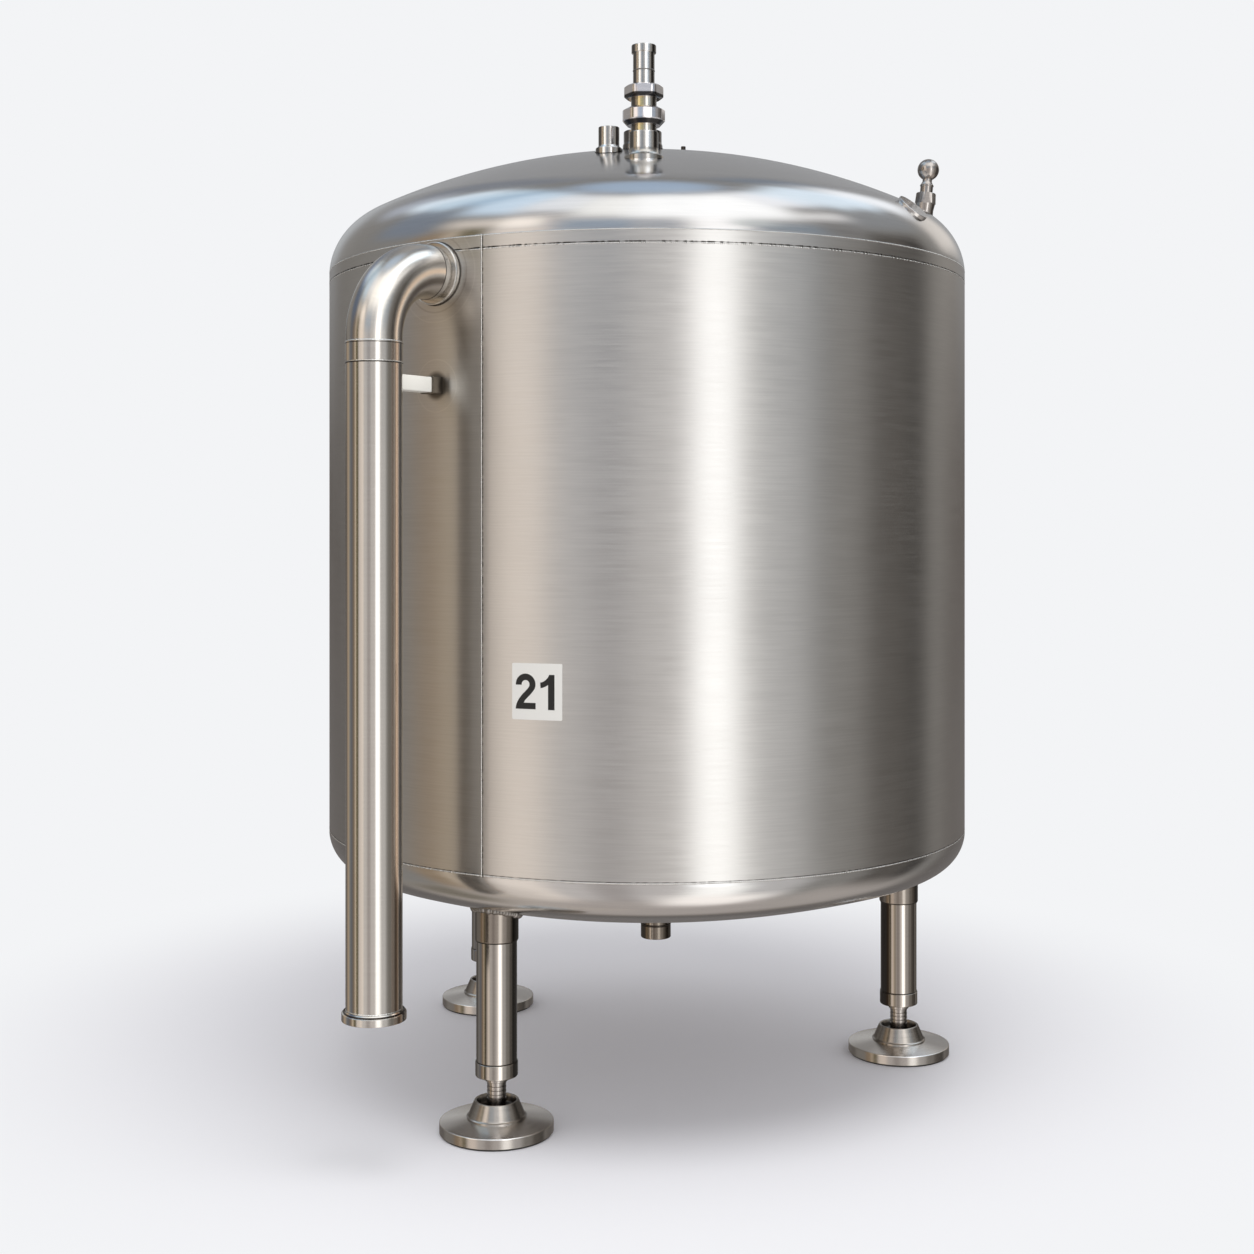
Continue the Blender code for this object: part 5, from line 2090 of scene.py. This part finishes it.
@dataclass
class Studio:
    """The camera, the pale floor and the soft panels round the tank."""

    lens: float = 49.81
    eye: Vector = field(default_factory=lambda: Vector((-0.0435, -3.885, 1.197)))
    shift: float = -0.0847
    backdrop: str = "#F3F4F6"
    floor_radius: float = 12.0
    floor_fade: tuple[float, float] = (0.7, 1.8)
    pool: tuple[float, float, float] = (-0.1, 0.3, 0.0)
    floor_colour: str = "#ECEEF8"
    overhead_place: Vector = field(default_factory=lambda: Vector((0.15, -1.2, 4.0)))
    overhead_size: float = 2.6
    overhead_power: float = 71.0
    overhead_colour: tuple[float, float, float] = (1.0, 0.97, 0.92)
    base: str = "#999794"
    bounce: tuple[float, float, float] = (0.76, 0.743, 0.712)
    panels: tuple[Panel, ...] = (
        # The rooms behind: dim, so that the steel has dark edges
        Panel(180, 50, -90, 6, "#585049", edge=14, rim=6),
        Panel(180, 34, 6, 64, "#A8A9AB", edge=10),
        Panel(-152, 12, 38, 66, "#959AA4", edge=8),
        Panel(-158, 9, 10, 26, "#C0C3C6", edge=6),
        Panel(153, 9, 47, 66, "#909AA8", edge=7),
        Panel(141, 12, 13, 30, "#F0EAE4", 1.07, edge=6),
        # Dim rooms on the right and the left
        Panel(98, 17, -90, 22, "#66625E", edge=6),
        Panel(107, 5, -90, 18, "#4D4B49"),
        Panel(100, 23, 26, 42, "#A2A5A9", edge=8),
        Panel(-80, 9, -90, 24, "#A8947D", edge=6),
        Panel(-100, 16, 20, 45, "#919BAA", edge=8),
        # Broad soft fill in front, a little dimmer left of the middle
        Panel(-3, 52, -90, 40, "#DFDBD9", edge=8),
        Panel(-13, 7, -90, 30, "#BCB6B4", edge=5),
        Panel(44, 13, -90, 30, "#D7D6D6", edge=7),
        # The wall above the fill, cooler than it
        Panel(-18, 14, 10, 31, "#ABBCCF", edge=6, rim=4),
        Panel(4, 8, 10, 30, "#C2C8D1", edge=6, rim=4),
        Panel(52, 15, 10, 27, "#9CA9B6", edge=7, rim=4),
        Panel(74, 9, 12, 31, "#929191", edge=6, rim=4),
        # Warm strips on the left and bright key strip right of the middle
        Panel(-64, 6, -90, 26, "#736B4D"),
        Panel(-72, 3, -90, 22, "#E8D8C3"),
        Panel(-46, 10, -90, 20, "#F0E6DD", 1.35, edge=5),
        Panel(-61, 19, 25, 34, "#F0E7DD", 1.24, edge=8, rim=4),
        Panel(-47, 8, 22, 35, "#F0E8E0", 1.95, edge=5, rim=4),
        Panel(22.4, 7.3, -14, 10, "#EAEDF0", 3.12, edge=5),
        Panel(25, 10, -64, -12, "#F0F0EE", 1.89, edge=6, rim=6),
        Panel(25, 10, 10, 36, "#EFEFF0", 1.95, edge=6, rim=4),
        Panel(38, 8, 21, 31, "#DFE7E9", edge=5, rim=4),
        # Ceiling panel, from white in front to blue over the tank
        Panel(-136, 8, 32, 48, "#C8CFDC", edge=6, rim=4),
        Panel(-123, 8, 40, 63, "#D5E3F0", 1.81, edge=6, rim=4),
        Panel(-109, 9, 44, 69, "#C8DEF0", 1.58, edge=7, rim=4),
        Panel(-92, 11, 50, 72, "#B9D6F0", 1.20, edge=7),
        Panel(-70, 16, 41, 73, "#C9DDF0", 1.61, edge=8),
        Panel(-42, 16, 44, 71, "#E6EAF0", 1.59, edge=8),
        Panel(-17, 13, 36, 70, "#EFF0EF", 1.72, edge=7, rim=6),
        Panel(6, 14, 33, 72, "#ECEEF0", 2.02, edge=8),
        Panel(38, 24, 33, 72, "#ECEEF0", 2.02, edge=8),
        Panel(72, 13, 34, 42, "#EFEFF0", 1.48, edge=7, rim=4),
        Panel(72, 14, 50, 72, "#E7EAF0", 1.80, edge=8, rim=4),
        Panel(89, 10, 50, 70, "#D8E4F0", 1.81, edge=7, rim=4),
        Panel(106, 12, 45, 69, "#D4E3F0", 1.77, edge=7, rim=4),
        Panel(124, 11, 41, 66, "#D3E2F0", 1.80, edge=6, rim=4),
        Panel(138, 9, 32, 54, "#E6EAF0", 1.82, edge=6, rim=6),
        Panel(0, 181, 76, 100, "#BED5F0", 1.05, edge=1),
        # The floor near the tank: pale, with its brightest pool at the right in front
        Panel(0, 181, -120, -58, "#C5BDB8", edge=1, rim=12),
        Panel(104, 34, -91, -36, "#C2BBB6", edge=10, rim=12),
        Panel(-108, 34, -91, -42, "#CCC3BB", edge=10, rim=10),
        Panel(-56, 12, -62, -32, "#F0E6DD", 1.06, edge=10, rim=10),
        Panel(32, 24, -73, -44, "#F0EBE7", 1.79, edge=14, rim=10),
        Panel(180, 50, -54, -2, "#777371", edge=14, rim=8),
        Panel(-106, 15, -62, -40, "#8B8478", edge=8, rim=6),
    )

    def build(self) -> None:
        """Makes the camera, the floor and the light."""
        scene = bpy.context.scene
        scene.view_settings.view_transform = "Standard"
        self.camera(scene)
        self.floor()
        self.overhead(scene)
        self.surroundings(scene)

    def camera(self, scene: Scene) -> None:
        """Puts the camera at the photograph's viewing angle.

        Args:
            scene: The scene that gets it.
        """
        data = bpy.data.cameras.new("Camera")
        data.sensor_fit = "HORIZONTAL"
        data.sensor_width = 36.0
        data.lens = self.lens
        data.shift_y = self.shift
        data.clip_start = 0.05
        thing = bpy.data.objects.new("Camera", data)
        thing.location = self.eye + Vector((0.0, FORM.axis_y, 0.0))
        thing.rotation_euler = (math.pi / 2, 0.0, 0.0)
        scene.collection.objects.link(thing)
        scene.camera = thing

    def floor(self) -> None:
        """Makes the pale floor, which fades into the backdrop."""
        shape = bmesh.new()
        bmesh.ops.create_circle(shape, cap_ends=True, segments=96, radius=self.floor_radius)
        floor = as_object("Floor", shape)
        material, tree = empty_material("Pale studio floor")
        place = add_node(tree, "ShaderNodeTexCoord").outputs["Object"]
        away = add_node(tree, "ShaderNodeVectorMath", (place, self.pool), operation="DISTANCE")
        span = (away, *self.floor_fade, 0.0, 1.0)
        share = add_node(tree, "ShaderNodeMapRange", span, interpolation_type="SMOOTHSTEP")
        matt = add_node(tree, "ShaderNodeBsdfDiffuse", {"Color": linear(self.floor_colour)})
        glow = add_node(tree, "ShaderNodeEmission", {"Color": linear(self.backdrop)})
        mixed = add_node(tree, "ShaderNodeMixShader", (share, matt, glow))
        add_node(tree, "ShaderNodeOutputMaterial", {"Surface": mixed})
        floor.data.materials.append(material)
        floor.visible_glossy = False
        floor.visible_diffuse = False
        floor.visible_shadow = False

    def overhead(self, scene: Scene) -> None:
        """Hangs a soft overhead light that brightens the floor and the matt pieces.

        Args:
            scene: The scene that gets it.
        """
        data = bpy.data.lights.new("Overhead", "AREA")
        data.shape = "DISK"
        data.size = self.overhead_size
        data.energy = self.overhead_power
        data.color = self.overhead_colour
        light = bpy.data.objects.new("Overhead", data)
        light.location = self.overhead_place
        aim = Vector((0.0, FORM.axis_y, 0.0)) - self.overhead_place
        light.rotation_euler = aim.to_track_quat("-Z", "Y").to_euler()
        light.visible_glossy = False
        light.visible_camera = False
        scene.collection.objects.link(light)

    def surroundings(self, scene: Scene) -> None:
        """Lights the tank from every side with soft panels.

        Args:
            scene: The scene that gets the light.
        """
        world = bpy.data.worlds.new("Soft studio")
        world.use_nodes = True
        world.cycles.sampling_method = "NONE"
        scene.world = world
        tree = world.node_tree
        tree.nodes.clear()
        way = add_node(tree, "ShaderNodeTexCoord").outputs["Generated"]
        x, y, z = add_node(tree, "ShaderNodeSeparateXYZ", (way,)).outputs
        back, front = (
            add_node(tree, "ShaderNodeMath", (part, -1.0), operation="MULTIPLY") for part in (x, y)
        )
        lift = add_node(tree, "ShaderNodeMath", (z,), operation="ARCSINE")
        pitch = add_node(tree, "ShaderNodeMath", (lift,), operation="DEGREES")
        directions = []
        for across, ahead in ((x, front), (back, y)):
            turn = add_node(tree, "ShaderNodeMath", (across, ahead), operation="ARCTAN2")
            azimuth = add_node(tree, "ShaderNodeMath", (turn,), operation="DEGREES")
            directions.append(add_node(tree, "ShaderNodeCombineXYZ", (azimuth, pitch)))
        shown = linear(self.base)
        for panel in self.panels:
            mask = self.mask(tree, panel, directions)
            mix = {0: mask, 6: shown, 7: linear(panel.colour, panel.strength)}
            shown = add_node(tree, "ShaderNodeMix", mix, data_type="RGBA")
        paths = add_node(tree, "ShaderNodeLightPath").outputs
        plain = {"Is Diffuse Ray": (*self.bounce, 1.0), "Is Camera Ray": linear(self.backdrop)}
        for path, colour in plain.items():
            mix = {0: paths[path], 6: shown, 7: colour}
            shown = add_node(tree, "ShaderNodeMix", mix, data_type="RGBA")
        glow = add_node(tree, "ShaderNodeBackground", {"Color": shown, "Strength": 1.0})
        add_node(tree, "ShaderNodeOutputWorld", {"Surface": glow})

    def mask(self, tree: NodeTree, panel: Panel, directions: Sequence[Feed]) -> Feed:
        """Finds how much of a direction a panel covers.

        Args:
            tree: The world's tree.
            panel: The panel.
            directions: The direction's azimuth and height in degrees, as a vector, with
                the azimuth measured from the front and from the back.

        Returns:
            A share from 0 to 1, soft at the panel's edges.
        """
        behind = abs(panel.azimuth) > 90
        azimuth = (panel.azimuth + (180 if behind else 0) + 180) % 360 - 180
        middle = (azimuth, (panel.low + panel.high) / 2, 0.0)
        tall = (panel.high - panel.low) / 2
        offset = (directions[behind], middle)
        away = add_node(tree, "ShaderNodeVectorMath", offset, operation="SUBTRACT")
        away = add_node(tree, "ShaderNodeVectorMath", (away,), operation="ABSOLUTE")
        none = (panel.half_width + panel.edge, tall + panel.rim, 1.0)
        full = (panel.half_width - panel.edge, tall - panel.rim, 0.0)
        ramp = add_node(
            tree,
            "ShaderNodeMapRange",
            {6: away, 7: none, 8: full, 9: (0.0, 0.0, 0.0), 10: (1.0, 1.0, 1.0)},
            data_type="FLOAT_VECTOR",
            interpolation_type="SMOOTHSTEP",
        )
        across, up, _ = add_node(tree, "ShaderNodeSeparateXYZ", (ramp,)).outputs
        return add_node(tree, "ShaderNodeMath", (across, up), operation="MULTIPLY")


# ------------------------------------------------------------------ the whole tank


def main() -> None:
    """Builds the studio and every sub-assembly, in order."""
    logging.basicConfig(level=logging.INFO, format="%(name)s %(message)s")
    Studio().build()
    tools = (Paintbox(), WeldBeads())
    paint = tools[0]
    TankBody(*tools).build()
    pipe = OverflowPipe(*tools)
    pipe.build()
    PipeBracket(paint, pipe).build()
    legs = (
        ("front_left", -31.7, 0.378, paint.leg),
        ("right", 92.5, 0.342, paint.right_leg),
        ("back_left", -137.0, 0.342, paint.leg),
    )
    for leg in legs:
        Leg(*tools, *leg).build()
    NozzleStack(*tools).build()
    PlainNozzle(*tools, "short_nozzle", -0.080, -0.390, 1.989, 0.0211, 0.0268).build()
    PlainNozzle(*tools, "rear_nozzle", -0.0112, -0.295, 2.0005, 0.0394, 0.0412).build()
    SmallTopPieces(*tools).build()
    Drain(*tools).build()
    NumberPlate(paint).build()


if __name__ == "__main__":
    main()
